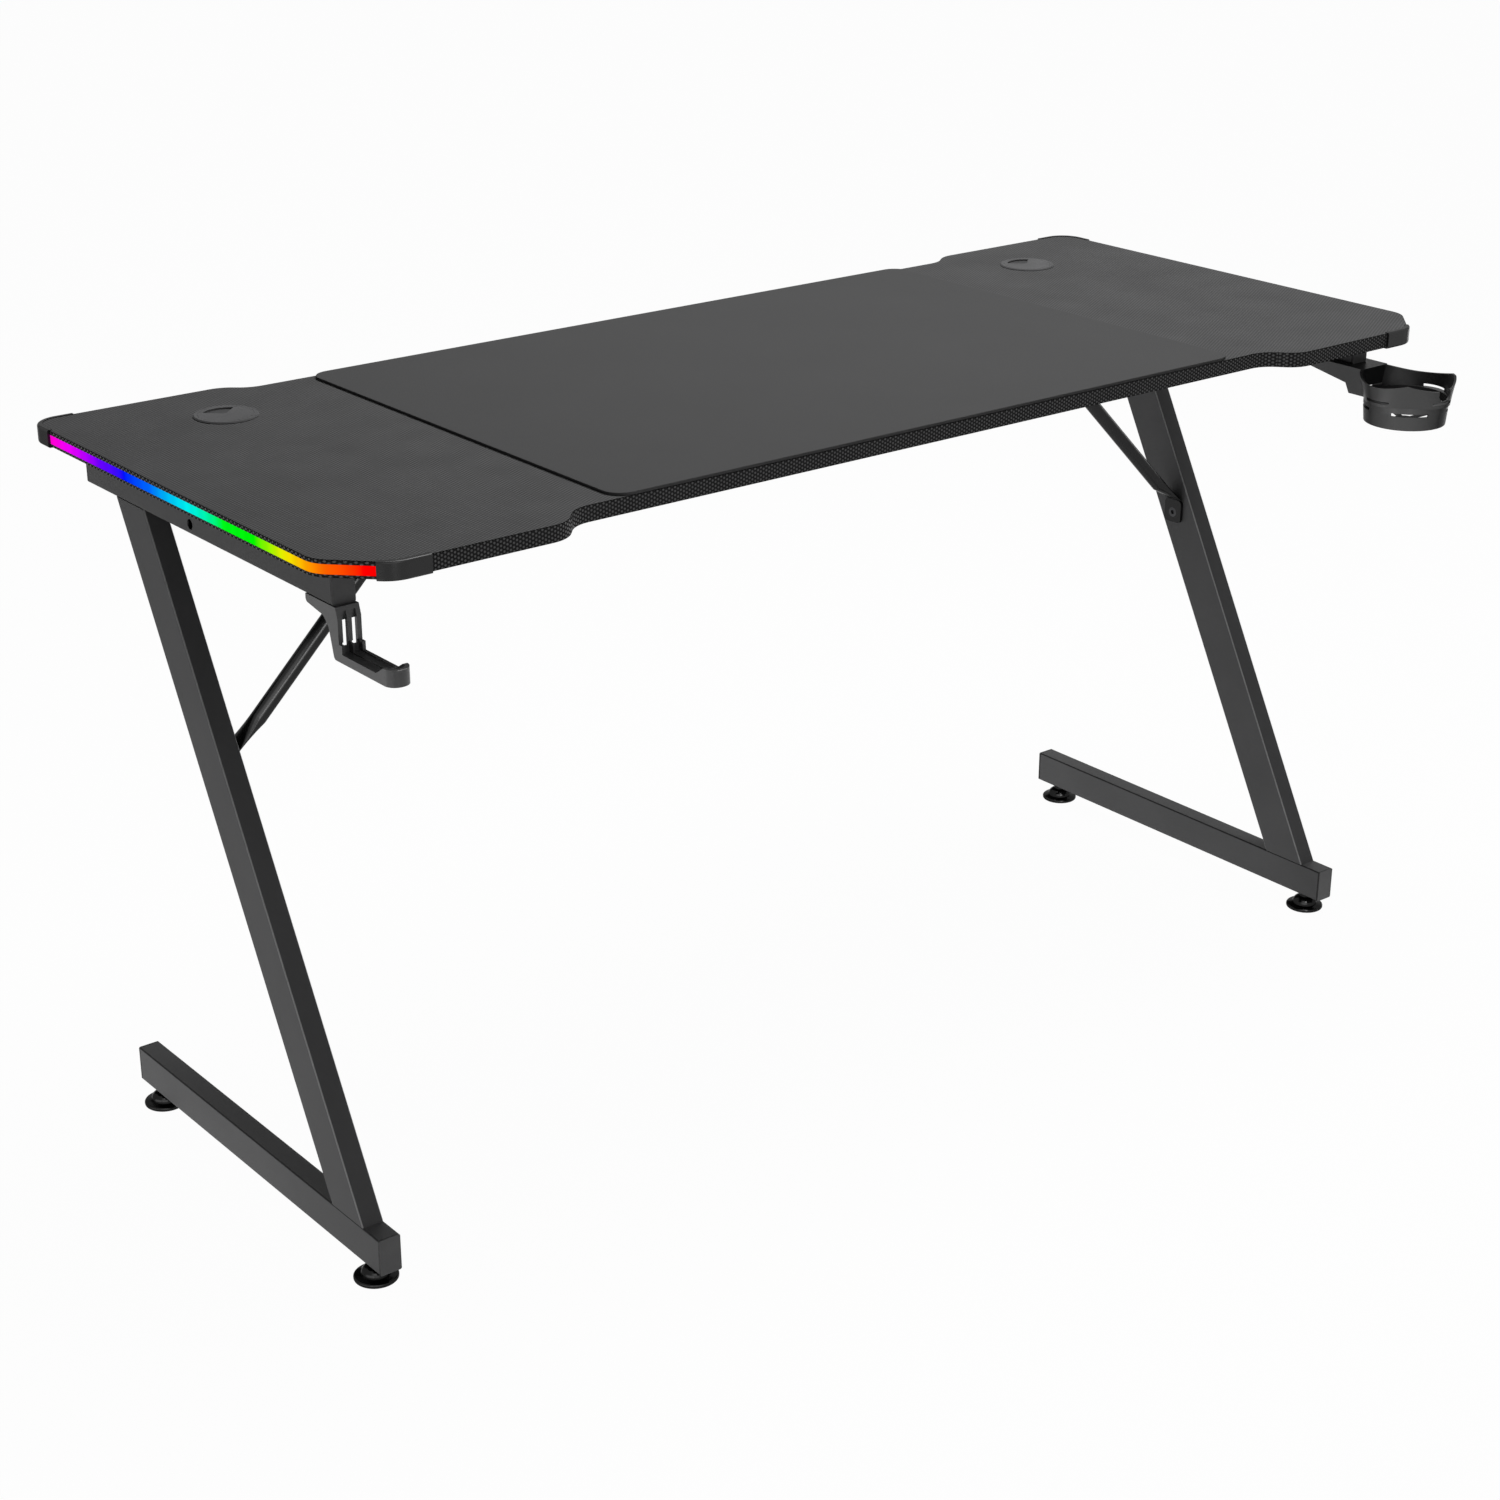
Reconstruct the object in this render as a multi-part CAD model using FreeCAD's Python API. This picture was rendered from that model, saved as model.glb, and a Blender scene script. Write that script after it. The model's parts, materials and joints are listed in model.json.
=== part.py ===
import FreeCAD, Part
import math
import os

os.makedirs("parts", exist_ok=True)
Vector = FreeCAD.Vector

# All lengths are in millimetres. X runs along the desk, Y from the user's side
# to the rear, Z up from the floor. Pieces are modelled about the desk's middle
# and moved at export, so that the origin lies under the middle of the whole.

# Desk top, with the feet screwed fully in
desk_height = 733.0
board_length = 1394.0
board_depth = 587.0
board_thickness = 16.0
board_edge_radius = 1.0
front_bevel = 50.0
front_bevel_radius = 30.0
rear_corner_radius = 26.0
recess_radius = 35.0
front_recess = 29.5
front_recess_from_end = 239.0
front_recess_run = 25.0
rear_recess = 19.5
rear_recess_from_end = 218.0
rear_recess_run = 23.0

# Corner guards
guard_wall = 2.5
guard_top_lip = 0.9
guard_base = 1.0
guard_top_width = 3.0
guard_base_width = 13.0
guard_edge_radius = 2.2
rear_guard_rear_reach = 44.0
rear_guard_side_reach = 42.0
front_guard_bevel_reach = 15.5
front_guard_front_reach = 35.5
guard_screw_inset = 7.0
guard_screw_from_end = 7.0
guard_screw_radius = 1.5
guard_screw_length = 11.0
guard_screw_head_radius = 2.8
guard_screw_head = 1.4

# Lit strips in the board's ends
led_slot_height = 9.0
led_slot_rise = 3.0
led_slot_depth = 6.0
led_tape_thickness = 1.5
led_face_recess = 0.3

# Mat
mat_from_end = 297.0
mat_thickness = 3.0
mat_margin = 0.5
mat_corner_radius = 20.0

# Cable grommets
grommet_from_end = 159.0
grommet_from_rear = 99.0
grommet_flange_radius = 32.0
grommet_flange = 2.0
grommet_flange_bevel = 1.2
grommet_sleeve_radius = 30.0
grommet_sleeve_length = 14.0
grommet_seat_radius = 27.5
grommet_bore_radius = 25.5
grommet_seat_depth = 1.4
grommet_fit = 0.2
grommet_window_radius = 23.5
grommet_window_angle = 92.0
shutter_angle = 112.0
shutter_radius = 24.8
shutter_thickness = 1.6
shutter_gap = 0.3
shutter_hub_radius = 6.0
shutter_pin_radius = 2.5
shutter_pin_head_radius = 4.0
shutter_pin_head = 1.6
pin_clearance = 0.05

# Side frames of rectangular tube
rail_width = 23.0
rail_height = 38.0
tube_wall = 1.5
tube_corner = 1.8
rail_from_end = 41.0
top_rail_front_setback = 71.0
top_rail_rear_setback = 52.5
foot_rail_front_setback = 56.0
foot_rail_rear_setback = 48.0
leg_depth = 50.0
leg_foot_from_front = 57.5
leg_head_from_rear = 88.5
end_cap_thickness = 2.5
end_cap_plug = 12.0
end_cap_fit = 0.1

# Crossbeam and its bolts
beam_width = 30.0
beam_plate = 5.0
beam_plate_width = 40.0
frame_bolt_spacing = 19.0
frame_bolt_radius = 3.0
frame_bolt_reach = 9.0
frame_bolt_head_radius = 4.6
frame_bolt_head = 4.0
frame_access_radius = 5.0
bolt_clearance = 0.3
thread_clearance = 0.05
socket_radius = 2.6
socket_depth = 2.2

# Diagonal braces of round tube with flattened ends
brace_radius = 8.0
brace_drop = 234.5
brace_off_leg_middle = 4.0
brace_bolt_to_bend = 16.0
brace_angle = 45.0
brace_flatten = 34.0
brace_tab_width = 26.0
brace_tab = 4.0
brace_tab_end = 12.0
brace_tab_corner = 5.0
brace_bolt_radius = 3.0
brace_bolt_head_radius = 6.0
brace_bolt_head = 3.0
brace_bolt_length = 16.0
rivet_nut_radius = 4.5
rivet_nut_length = 14.0
rivet_nut_bulb_radius = 6.2
rivet_nut_bulb = 3.0

# Screws that hold the board to the top rails
desktop_screw_shares = (0.24, 0.66, 0.94)
desktop_screw_radius = 2.4
desktop_screw_depth = 12.0
desktop_screw_head_radius = 4.6
desktop_screw_head = 3.0
desktop_access_radius = 5.6

# Levelling feet
foot_gap = 19.5
foot_from_end = 29.0
pad_radius = 21.8
pad_edge = 1.9
pad_rim = 4.6
pad_dome_radius = 14.6
pad_dome_foot = 5.8
pad_dome = 8.2
pad_neck_radius = 7.0
pad_to_rail = 0.3
stud_radius = 4.0
stud_button_radius = 5.2
stud_button = 3.0
stud_seat = 5.0
stud_play = 0.1
stud_reserve = 25.0
insert_radius = 6.0
insert_length = 15.0

# Headphone hook under the left top rail
hook_width = 23.4
hook_front_overhang = 4.0
hook_rear_reach = 46.0
hook_rear_depth = 7.2
hook_gusset_reach = 17.0
hook_gusset_depth = 12.3
hook_back_reach = 9.0
hook_drop = 48.5
hook_heel_back = 2.0
hook_arm_reach = 90.5
hook_arm_thickness = 8.0
hook_tip_height = 15.5
hook_tip_land = 12.0
hook_ramp = 12.0
hook_plate_front = 7.0
hook_step_height = 8.0
hook_step_reach = 5.0
hook_bend_radius = 8.0
hook_heel_radius = 4.0
hook_edge_radius = 0.6
hook_tip_wall = 4.0
hook_rib = 4.6
hook_lean = 10.0
hook_top_plate = 4.0
hook_slot_floor = 5.0
hook_slot_back = 2.8
hook_plate = 3.5
hook_panel_depth = 1.4
hook_panel_margin = 3.0
hook_screw_reaches = (38.0, 25.0)
hook_screw_seat = 4.0

# Cup holder under the right top rail
cup_ahead_of_rail = 69.4
cup_wall = 2.0
cup_floor = 2.5
cup_depth = 51.5
cup_base_radius = 44.6
cup_waist_radius = 46.2
cup_waist_height = 17.5
cup_top_radius = 52.6
cup_shelf_height = 25.5
cup_shelf = 3.0
cup_flat = 46.7
cup_scoops = ((20.0, 7.4), (172.0, 6.4), (270.0, 7.4))
cup_scoop_radius = 112.0
cup_upper_slot = 3.0
cup_upper_slot_angle = 35.0
cup_lower_slot_height = 15.5
cup_lower_slot = 3.5
cup_lower_slot_angle = 52.0
cup_notch_width = 18.0
cup_notch_height = 33.0
cup_notch_round = 7.0
cup_floor_hub = 12.0
cup_floor_window = 37.0
cup_spoke = 4.5
cup_spokes = 6
arm_width = 44.0
arm_plate = 3.0
arm_web = 2.5
arm_rear_reach = 77.0
arm_knee_drop = 19.0
arm_knee_reach = 0.5
arm_heel_drop = 29.8
arm_heel_reach = 6.0
cup_screw_reaches = (60.0, 22.0)

# Screws of the hook and the cup holder
holder_screw_radius = 2.0
holder_screw_length = 14.0
holder_screw_head_radius = 4.0
holder_screw_head = 2.4

# Light controller under the board
controller_from_rail = 38.0
controller_from_beam = 33.0
controller_width = 42.0
controller_length = 92.0
controller_height = 20.0
controller_wall = 2.0
controller_lid = 2.0
controller_ear = 9.0
controller_ear_width = 12.0
controller_ear_thickness = 3.0
controller_screw_radius = 1.7
controller_screw_depth = 10.0
controller_screw_head_radius = 3.2
controller_screw_head = 1.8
lid_post = 6.0
lid_screw_radius = 1.2
lid_screw_length = 8.0
lid_screw_head_radius = 2.2
lid_screw_head = 1.2
circuit_thickness = 1.6
circuit_margin = 0.3
circuit_below_top = 8.0
switch_width = 6.0
switch_height = 3.4
button_radius = 5.0
button_proud = 1.4
button_flange_radius = 6.2
button_flange = 1.2
button_travel = 0.8
button_clearance = 0.1
socket_width = 9.0
socket_height = 3.4
socket_length = 7.5
socket_shell = 0.4
socket_tongue = 0.7
socket_tongue_back = 1.5

# Leads to the light tapes
lead_radius = 1.5
lead_gap = 0.3
lead_behind_rail = 5.0
lead_bend = 15.0
lead_rise_bend = 5.0
lead_hole_radius = 3.0
lead_hole_overlap = 0.2
lead_tape_gap = 0.3
lead_spacing = 12.0
clip_length = 10.0
clip_width = 8.0
clip_floor = 1.4
clip_clearance = 0.1
clip_shares = (0.10, 0.28, 0.46, 0.64, 0.82, 0.96)
left_clip_share = 0.5

# Every cut runs past the faces by this much
overrun = 1.0

# Worked out from the sizes above
board_bottom = desk_height - board_thickness
half_length = board_length / 2
half_depth = board_depth / 2
rail_from_middle = half_length - rail_from_end
grommet_from_middle = half_length - grommet_from_end
rail_bottom = board_bottom - rail_height
rail_inner = rail_from_middle - rail_width / 2
rail_outer = rail_from_middle + rail_width / 2
foot_rail_top = foot_gap + rail_height
top_rail_front = top_rail_front_setback - half_depth
top_rail_rear = half_depth - top_rail_rear_setback
foot_rail_front = foot_rail_front_setback - half_depth
foot_rail_rear = half_depth - foot_rail_rear_setback
leg_foot_y = foot_rail_front + leg_foot_from_front
leg_head_y = top_rail_rear - leg_head_from_rear
leg_rise = rail_bottom - foot_rail_top
leg_slope = math.atan2(leg_head_y - leg_foot_y, leg_rise)
brace_bolt_z = rail_bottom - brace_drop
beam_y = leg_foot_y + (brace_bolt_z - foot_rail_top) * math.tan(leg_slope) + brace_off_leg_middle
guard_rear_y = half_depth - rear_guard_side_reach
led_bottom = board_bottom + led_slot_rise
led_top = led_bottom + led_slot_height
grommet_y = half_depth - grommet_from_rear
flange_top = desk_height + grommet_flange
seat_z = flange_top - grommet_seat_depth
cup_y = top_rail_front - cup_ahead_of_rail
cup_bottom = rail_bottom - cup_depth
controller_x = controller_from_rail + controller_width / 2 - rail_inner
controller_y = beam_y + beam_width / 2 + controller_from_beam + controller_length / 2
lead_y = top_rail_rear + lead_behind_rail
lead_z = board_bottom - lead_radius - lead_gap
lead_end_x = half_length - led_slot_depth - lead_tape_gap - lead_radius
middle_x = (rail_from_middle + cup_top_radius - half_length - guard_wall) / 2
middle_y = (half_depth + guard_wall + cup_y - cup_top_radius) / 2
to_origin = Vector(-middle_x, -middle_y, 0)
along_x = Vector(1, 0, 0)
along_y = Vector(0, 1, 0)
along_z = Vector(0, 0, 1)


# Basic shapes

def box(x0, x1, y0, y1, z0, z1):
    return Part.makeBox(x1 - x0, y1 - y0, z1 - z0, Vector(x0, y0, z0))


def rod(radius, start, end):
    return Part.makeCylinder(radius, (end - start).Length, start, end - start)


def upright(radius, x, y, z0, z1):
    return rod(radius, Vector(x, y, z0), Vector(x, y, z1))


def fused(shapes):
    return shapes[0].fuse(shapes[1:]).removeSplitter()


def mirrored(shape):
    return shape.mirror(Vector(0, 0, 0), along_x)


def both_sides(shape):
    return [shape, mirrored(shape)]


def rounded_wire(corners):
    """Closed wire through (point, radius) corners, each rounded by a tangent arc."""
    edges = []
    joints = []
    for index, (point, radius) in enumerate(corners):
        back = (corners[index - 1][0] - point).normalize()
        ahead = (corners[(index + 1) % len(corners)][0] - point).normalize()
        half = back.getAngle(ahead) / 2
        reach = radius / math.tan(half)
        start = point + back * reach
        end = point + ahead * reach
        if radius > 0:
            crown = (back + ahead).normalize() * (radius / math.sin(half) - radius)
            edges.append(Part.Arc(start, point + crown, end).toShape())
        joints.append((start, end))
    for index, (start, end) in enumerate(joints):
        following = joints[(index + 1) % len(joints)][0]
        if (following - end).Length > 0:
            edges.append(Part.makeLine(end, following))
    return Part.Wire(Part.__sortEdges__(edges))


def prism(corners, sweep):
    return Part.Face(rounded_wire(corners)).extrude(sweep)


def turned(points, x, y):
    """Solid of revolution about a vertical axis through (x, y) from (radius, z) points."""
    corners = [Vector(radius, 0, z) for radius, z in points]
    face = Part.Face(Part.makePolygon(corners + corners[:1]))
    solid = face.revolve(Vector(0, 0, 0), along_z, 360)
    solid.translate(Vector(x, y, 0))
    return solid


def arc_points(r, z, reach_out, reach_up, start, end, steps=6):
    """Points of a profile along an elliptic arc about (r, z), between two angles in degrees."""
    points = []
    for step in range(steps + 1):
        angle = math.radians(start + (end - start) * step / steps)
        points.append((r + reach_out * math.cos(angle), z + reach_up * math.sin(angle)))
    return points


def sector(inner, outer, z0, z1, middle_angle, span, x, y):
    """Block between two radii and two heights that spans an angle about (x, y)."""
    corners = [Vector(r, 0, z) for r, z in ((inner, z0), (outer, z0), (outer, z1), (inner, z1))]
    solid = Part.Face(Part.makePolygon(corners + corners[:1])).revolve(Vector(0, 0, 0), along_z, span)
    solid.rotate(Vector(0, 0, 0), along_z, middle_angle - span / 2)
    solid.translate(Vector(x, y, 0))
    return solid


def softened(shape, radius, along):
    """Rounds the straight edges that run along a direction."""
    edges = []
    for edge in shape.Edges:
        ends = [vertex.Point for vertex in edge.Vertexes]
        run = (ends[1] - ends[0]).normalize() if len(ends) > 1 else Vector()
        if abs(run.dot(along)) > math.cos(math.radians(1)):
            edges.append(edge)
    return shape.makeFillet(radius, edges)


def level_edges(shape, heights):
    """Edges that lie flat at one of the given heights."""
    found = []
    for edge in shape.Edges:
        bounds = edge.BoundBox
        if any(max(abs(bounds.ZMin - z), abs(bounds.ZMax - z)) < board_edge_radius / 100 for z in heights):
            found.append(edge)
    return found


def tube(x_middle, y0, y1, z0):
    outer = softened(box(x_middle - rail_width / 2, x_middle + rail_width / 2, y0, y1,
                         z0, z0 + rail_height), tube_corner, along_y)
    inner = box(x_middle - rail_width / 2 + tube_wall, x_middle + rail_width / 2 - tube_wall,
                y0 - overrun, y1 + overrun, z0 + tube_wall, z0 + rail_height - tube_wall)
    return outer.cut(inner)


def screw(radius, length, head_radius, head, seat, axis):
    """Round-headed screw: its head sits against the seat and its shank runs along axis."""
    shank = Part.makeCylinder(radius, length, seat, axis)
    cap = Part.makeCylinder(head_radius, head, seat, -axis)
    return fused([shank, cap])


# Desk top

def board_corners():
    front_step = half_length - front_recess_from_end
    rear_step = half_length - rear_recess_from_end
    right = [
        (front_step - front_recess_run / 2, front_recess - half_depth, recess_radius),
        (front_step + front_recess_run / 2, -half_depth, recess_radius),
        (half_length - front_bevel, -half_depth, front_bevel_radius),
        (half_length, front_bevel - half_depth, front_bevel_radius),
        (half_length, half_depth, rear_corner_radius),
        (rear_step + rear_recess_run / 2, half_depth, recess_radius),
        (rear_step - rear_recess_run / 2, half_depth - rear_recess, recess_radius),
    ]
    left = [(-x, y, radius) for x, y, radius in reversed(right)]
    return [(Vector(x, y, 0), radius) for x, y, radius in right + left]


def board_block(offset, z0, z1):
    """The board's outline, moved out or in by an offset, between two heights."""
    wire = rounded_wire(board_corners())
    if offset:
        wire = wire.makeOffset2D(offset)
    block = Part.Face(wire).extrude(Vector(0, 0, z1 - z0))
    block.translate(Vector(0, 0, z0))
    return block


def bevel_frame():
    """Left bevel's front corner, its direction towards the side and its outward normal."""
    corner = Vector(front_bevel - half_length, -half_depth, 0)
    return corner, Vector(-1, 1, 0).normalize(), Vector(-1, -1, 0).normalize()


def bevel_cut_points():
    """Points outside and inside the left bevel where guard and lit strip meet."""
    corner, along, outward = bevel_frame()
    meeting = corner + along * front_guard_bevel_reach
    return meeting + outward * front_bevel / 2, meeting - outward * front_bevel


def region(points):
    corners = [(Vector(point.x, point.y, 0), 0) for point in points]
    return prism(corners, Vector(0, 0, desk_height + board_thickness))


def left_strip_region():
    outside, inside = bevel_cut_points()
    far = -half_length - front_bevel
    return region([
        Vector(far, guard_rear_y, 0), Vector(far, outside.y, 0), outside, inside,
        Vector(inside.x, guard_rear_y, 0),
    ])


def front_guard_region():
    corner, along, outward = bevel_frame()
    outside, inside = bevel_cut_points()
    front_end = corner.x + front_guard_front_reach
    return region([
        outside, Vector(corner.x - front_bevel, corner.y - front_bevel, 0),
        Vector(front_end, corner.y - front_bevel, 0), Vector(front_end, inside.y, 0), inside,
    ])


def rear_guard_region():
    return region([
        Vector(-half_length - front_bevel, guard_rear_y, 0),
        Vector(rear_guard_rear_reach - half_length, guard_rear_y, 0),
        Vector(rear_guard_rear_reach - half_length, half_depth + front_bevel, 0),
        Vector(-half_length - front_bevel, half_depth + front_bevel, 0),
    ])


def guard_ring():
    low = board_bottom - guard_base
    high = desk_height + guard_top_lip
    blank = board_block(guard_wall, low, high)
    blank = blank.makeFillet(guard_edge_radius, level_edges(blank, (low, high)))
    middle = board_bottom + board_thickness / 2
    return blank.cut([
        board_block(0, board_bottom, desk_height),
        board_block(-guard_top_width, middle, high + overrun),
        board_block(-guard_base_width, low - overrun, middle),
    ])


def guard_screw_places():
    """Left guards' screws, front pair and rear pair, as points on the board's underside."""
    corner, along, outward = bevel_frame()
    on_bevel = corner + along * (front_guard_bevel_reach - guard_screw_from_end)
    return [
        on_bevel - outward * guard_screw_inset,
        corner + Vector(front_guard_front_reach - guard_screw_from_end, guard_screw_inset, 0),
        Vector(rear_guard_rear_reach - guard_screw_from_end - half_length,
               half_depth - guard_screw_inset, 0),
        Vector(guard_screw_inset - half_length, guard_rear_y + guard_screw_from_end, 0),
    ]


def guard_screw_holes():
    holes = []
    for place in guard_screw_places():
        holes.append(upright(guard_screw_radius + thread_clearance, place.x, place.y,
                             board_bottom - guard_base - overrun,
                             board_bottom - guard_base + guard_screw_length + overrun))
    return holes


def corner_guards():
    ring = guard_ring()
    front = ring.common(front_guard_region()).cut(guard_screw_holes())
    rear = ring.common(rear_guard_region()).cut(guard_screw_holes())
    return {
        "front_left_corner_guard": front,
        "front_right_corner_guard": mirrored(front),
        "rear_left_corner_guard": rear,
        "rear_right_corner_guard": mirrored(rear),
    }


def guard_screws():
    made = []
    for place in guard_screw_places():
        seat = Vector(place.x, place.y, board_bottom - guard_base)
        made += both_sides(screw(guard_screw_radius, guard_screw_length, guard_screw_head_radius,
                                 guard_screw_head, seat, along_z))
    return made


def edge_strip(outer, inner):
    """Left strip of the board's edge between two offsets, at the height of the lit slot."""
    ring = board_block(outer, led_bottom, led_top).cut(board_block(inner, led_bottom, led_top))
    return ring.common(left_strip_region())


def lead_hole():
    x = half_length - led_slot_depth - lead_hole_radius + lead_hole_overlap
    return upright(lead_hole_radius, -x, lead_y, board_bottom - overrun, led_top)


def desktop_board():
    board = board_block(0, board_bottom, desk_height)
    board = board.makeFillet(board_edge_radius, level_edges(board, (board_bottom, desk_height)))
    left = [edge_strip(overrun, -led_slot_depth), lead_hole()]
    left += guard_screw_holes() + desktop_screw_holes()
    left.append(upright(grommet_sleeve_radius + grommet_fit, -grommet_from_middle, grommet_y,
                        board_bottom - overrun, desk_height + overrun))
    tools = left + [mirrored(tool) for tool in left]
    for place in controller_screw_places():
        tools.append(upright(controller_screw_radius + thread_clearance, place.x, place.y,
                             board_bottom - overrun, board_bottom + controller_screw_depth))
    return board.cut(tools)


def desk_mat():
    front = front_recess - half_depth + mat_margin
    rear = half_depth - rear_recess - mat_margin
    half = half_length - mat_from_end
    corners = [(-half, front), (half, front), (half, rear), (-half, rear)]
    return prism([(Vector(x, y, desk_height), mat_corner_radius) for x, y in corners],
                 Vector(0, 0, mat_thickness))


# Cable grommets

def grommet_liner(x):
    low = desk_height - grommet_sleeve_length
    return turned([
        (grommet_bore_radius, low), (grommet_sleeve_radius, low),
        (grommet_sleeve_radius, desk_height), (grommet_flange_radius, desk_height),
        (grommet_flange_radius, flange_top - grommet_flange_bevel),
        (grommet_flange_radius - grommet_flange_bevel, flange_top),
        (grommet_seat_radius, flange_top), (grommet_seat_radius, seat_z),
        (grommet_bore_radius, seat_z),
    ], x, grommet_y)


def grommet_cap(x):
    plate = upright(grommet_seat_radius - grommet_fit, x, grommet_y, seat_z, flange_top)
    window = sector(0, grommet_window_radius, seat_z - overrun, flange_top + overrun,
                    90, grommet_window_angle, x, grommet_y)
    pin_end = seat_z - shutter_gap - shutter_thickness - shutter_gap
    pin = upright(shutter_pin_radius, x, grommet_y, pin_end - shutter_pin_head, flange_top)
    head = upright(shutter_pin_head_radius, x, grommet_y, pin_end - shutter_pin_head, pin_end)
    return fused([plate.cut(window), pin, head])


def grommet_shutter(x):
    high = seat_z - shutter_gap
    low = high - shutter_thickness
    leaf = sector(0, shutter_radius, low, high, 90, shutter_angle, x, grommet_y)
    hub = upright(shutter_hub_radius, x, grommet_y, low, high)
    bore = upright(shutter_pin_radius + pin_clearance, x, grommet_y, low - overrun, high + overrun)
    return fused([leaf, hub]).cut(bore)


# Side frames

def beam_bolt_heights():
    middle = rail_bottom + rail_height / 2
    return [middle - frame_bolt_spacing / 2, middle + frame_bolt_spacing / 2]


def desktop_screw_ys():
    return [top_rail_front + share * (top_rail_rear - top_rail_front) for share in desktop_screw_shares]


def desktop_screw_holes():
    return [upright(desktop_screw_radius + thread_clearance, -rail_from_middle, y,
                    board_bottom - tube_wall - overrun, board_bottom - tube_wall + desktop_screw_depth)
            for y in desktop_screw_ys()]


def top_rail(holder_ys):
    """Left top rail, with holes for the holder screws at the given places along it."""
    rail = tube(-rail_from_middle, top_rail_front + end_cap_thickness,
                top_rail_rear - end_cap_thickness, rail_bottom)
    tools = []
    for z in beam_bolt_heights():
        tools.append(rod(frame_access_radius, Vector(-rail_outer - overrun, beam_y, z),
                         Vector(-rail_from_middle, beam_y, z)))
        tools.append(rod(frame_bolt_radius + bolt_clearance, Vector(-rail_from_middle, beam_y, z),
                         Vector(overrun - rail_inner, beam_y, z)))
    for y in desktop_screw_ys():
        tools.append(upright(desktop_access_radius, -rail_from_middle, y,
                             rail_bottom - overrun, rail_bottom + rail_height / 2))
        tools.append(upright(desktop_screw_radius + bolt_clearance, -rail_from_middle, y,
                             rail_bottom + rail_height / 2, board_bottom + overrun))
    for y in holder_ys:
        tools.append(upright(holder_screw_radius + thread_clearance, -rail_from_middle, y,
                             rail_bottom - overrun, rail_bottom + rail_height / 2))
    return rail.cut(tools)


def foot_ys():
    return [foot_rail_front + foot_from_end, foot_rail_rear - foot_from_end]


def foot_rail():
    rail = tube(-rail_from_middle, foot_rail_front + end_cap_thickness,
                foot_rail_rear - end_cap_thickness, foot_gap)
    return rail.cut([upright(insert_radius + thread_clearance, -rail_from_middle, y,
                             foot_gap - overrun, foot_gap + rail_height / 2) for y in foot_ys()])


def slanted_bar(x0, x1, depth, extra):
    """Bar between two planes of x that follows the leg's slope, longer by extra at both ends."""
    half = depth / math.cos(leg_slope) / 2
    shift = extra * math.tan(leg_slope)
    low = (leg_foot_y - shift, foot_rail_top - extra)
    high = (leg_head_y + shift, rail_bottom + extra)
    corners = [(low[0] - half, low[1]), (low[0] + half, low[1]),
               (high[0] + half, high[1]), (high[0] - half, high[1])]
    return prism([(Vector(x0, y, z), 0) for y, z in corners], Vector(x1 - x0, 0, 0))


def leg_post():
    slope = Vector(0, math.sin(leg_slope), math.cos(leg_slope))
    outer = softened(slanted_bar(-rail_outer, -rail_inner, leg_depth, 0), tube_corner, slope)
    inner = slanted_bar(tube_wall - rail_outer, -rail_inner - tube_wall,
                        leg_depth - tube_wall - tube_wall, overrun)
    hole = rod(rivet_nut_radius + thread_clearance, Vector(-rail_from_middle, beam_y, brace_bolt_z),
               Vector(overrun - rail_inner, beam_y, brace_bolt_z))
    return outer.cut([inner, hole])


def end_cap(y_face, inward, z0):
    """Flush plug in a left rail's end: inward is the direction from the face into the tube."""
    half = rail_width / 2
    y_plate = y_face + inward * end_cap_thickness
    y_plug = y_plate + inward * end_cap_plug
    plate = softened(box(-rail_outer, -rail_inner, min(y_face, y_plate), max(y_face, y_plate),
                         z0, z0 + rail_height), tube_corner, along_y)
    gap = tube_wall + end_cap_fit
    plug = box(-rail_from_middle - half + gap, -rail_from_middle + half - gap,
               min(y_plate, y_plug), max(y_plate, y_plug), z0 + gap, z0 + rail_height - gap)
    hollow = box(-rail_from_middle - half + gap + tube_wall, -rail_from_middle + half - gap - tube_wall,
                 min(y_plate, y_plug + inward * overrun), max(y_plate, y_plug + inward * overrun),
                 z0 + gap + tube_wall, z0 + rail_height - gap - tube_wall)
    return fused([plate, plug.cut(hollow)])


def end_caps(front, rear, z0):
    return both_sides(end_cap(front, 1, z0)) + both_sides(end_cap(rear, -1, z0))


# Crossbeam and braces

def brace_places():
    """Left brace's lower bend, upper bend and the places of its two bolts."""
    low = Vector(brace_radius - rail_inner, beam_y, brace_bolt_z + brace_bolt_to_bend)
    rise = rail_bottom - brace_radius - low.z
    high = low + Vector(rise / math.tan(math.radians(brace_angle)), 0, rise)
    low_bolt = Vector(-rail_inner, beam_y, brace_bolt_z)
    high_bolt = Vector(high.x + brace_bolt_to_bend, beam_y, rail_bottom)
    return low, high, low_bolt, high_bolt


def crossbeam():
    half = rail_inner - beam_plate
    outer = softened(box(-half, half, beam_y - beam_width / 2, beam_y + beam_width / 2,
                         rail_bottom, board_bottom), tube_corner, along_x)
    inner = box(-half - overrun, half + overrun, beam_y - beam_width / 2 + tube_wall,
                beam_y + beam_width / 2 - tube_wall, rail_bottom + tube_wall, board_bottom - tube_wall)
    bolt = brace_places()[3]
    hole = upright(rivet_nut_radius + thread_clearance, bolt.x, beam_y,
                   rail_bottom - overrun, rail_bottom + rail_height / 2)
    return outer.cut([inner] + both_sides(hole))


def crossbeam_end_plates():
    plate = softened(box(-rail_inner, beam_plate - rail_inner, beam_y - beam_plate_width / 2,
                         beam_y + beam_plate_width / 2, rail_bottom, board_bottom), tube_corner, along_x)
    holes = [rod(frame_bolt_radius + thread_clearance, Vector(-rail_inner - overrun, beam_y, z),
                 Vector(beam_plate - rail_inner + overrun, beam_y, z)) for z in beam_bolt_heights()]
    return both_sides(plate.cut(holes))


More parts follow.
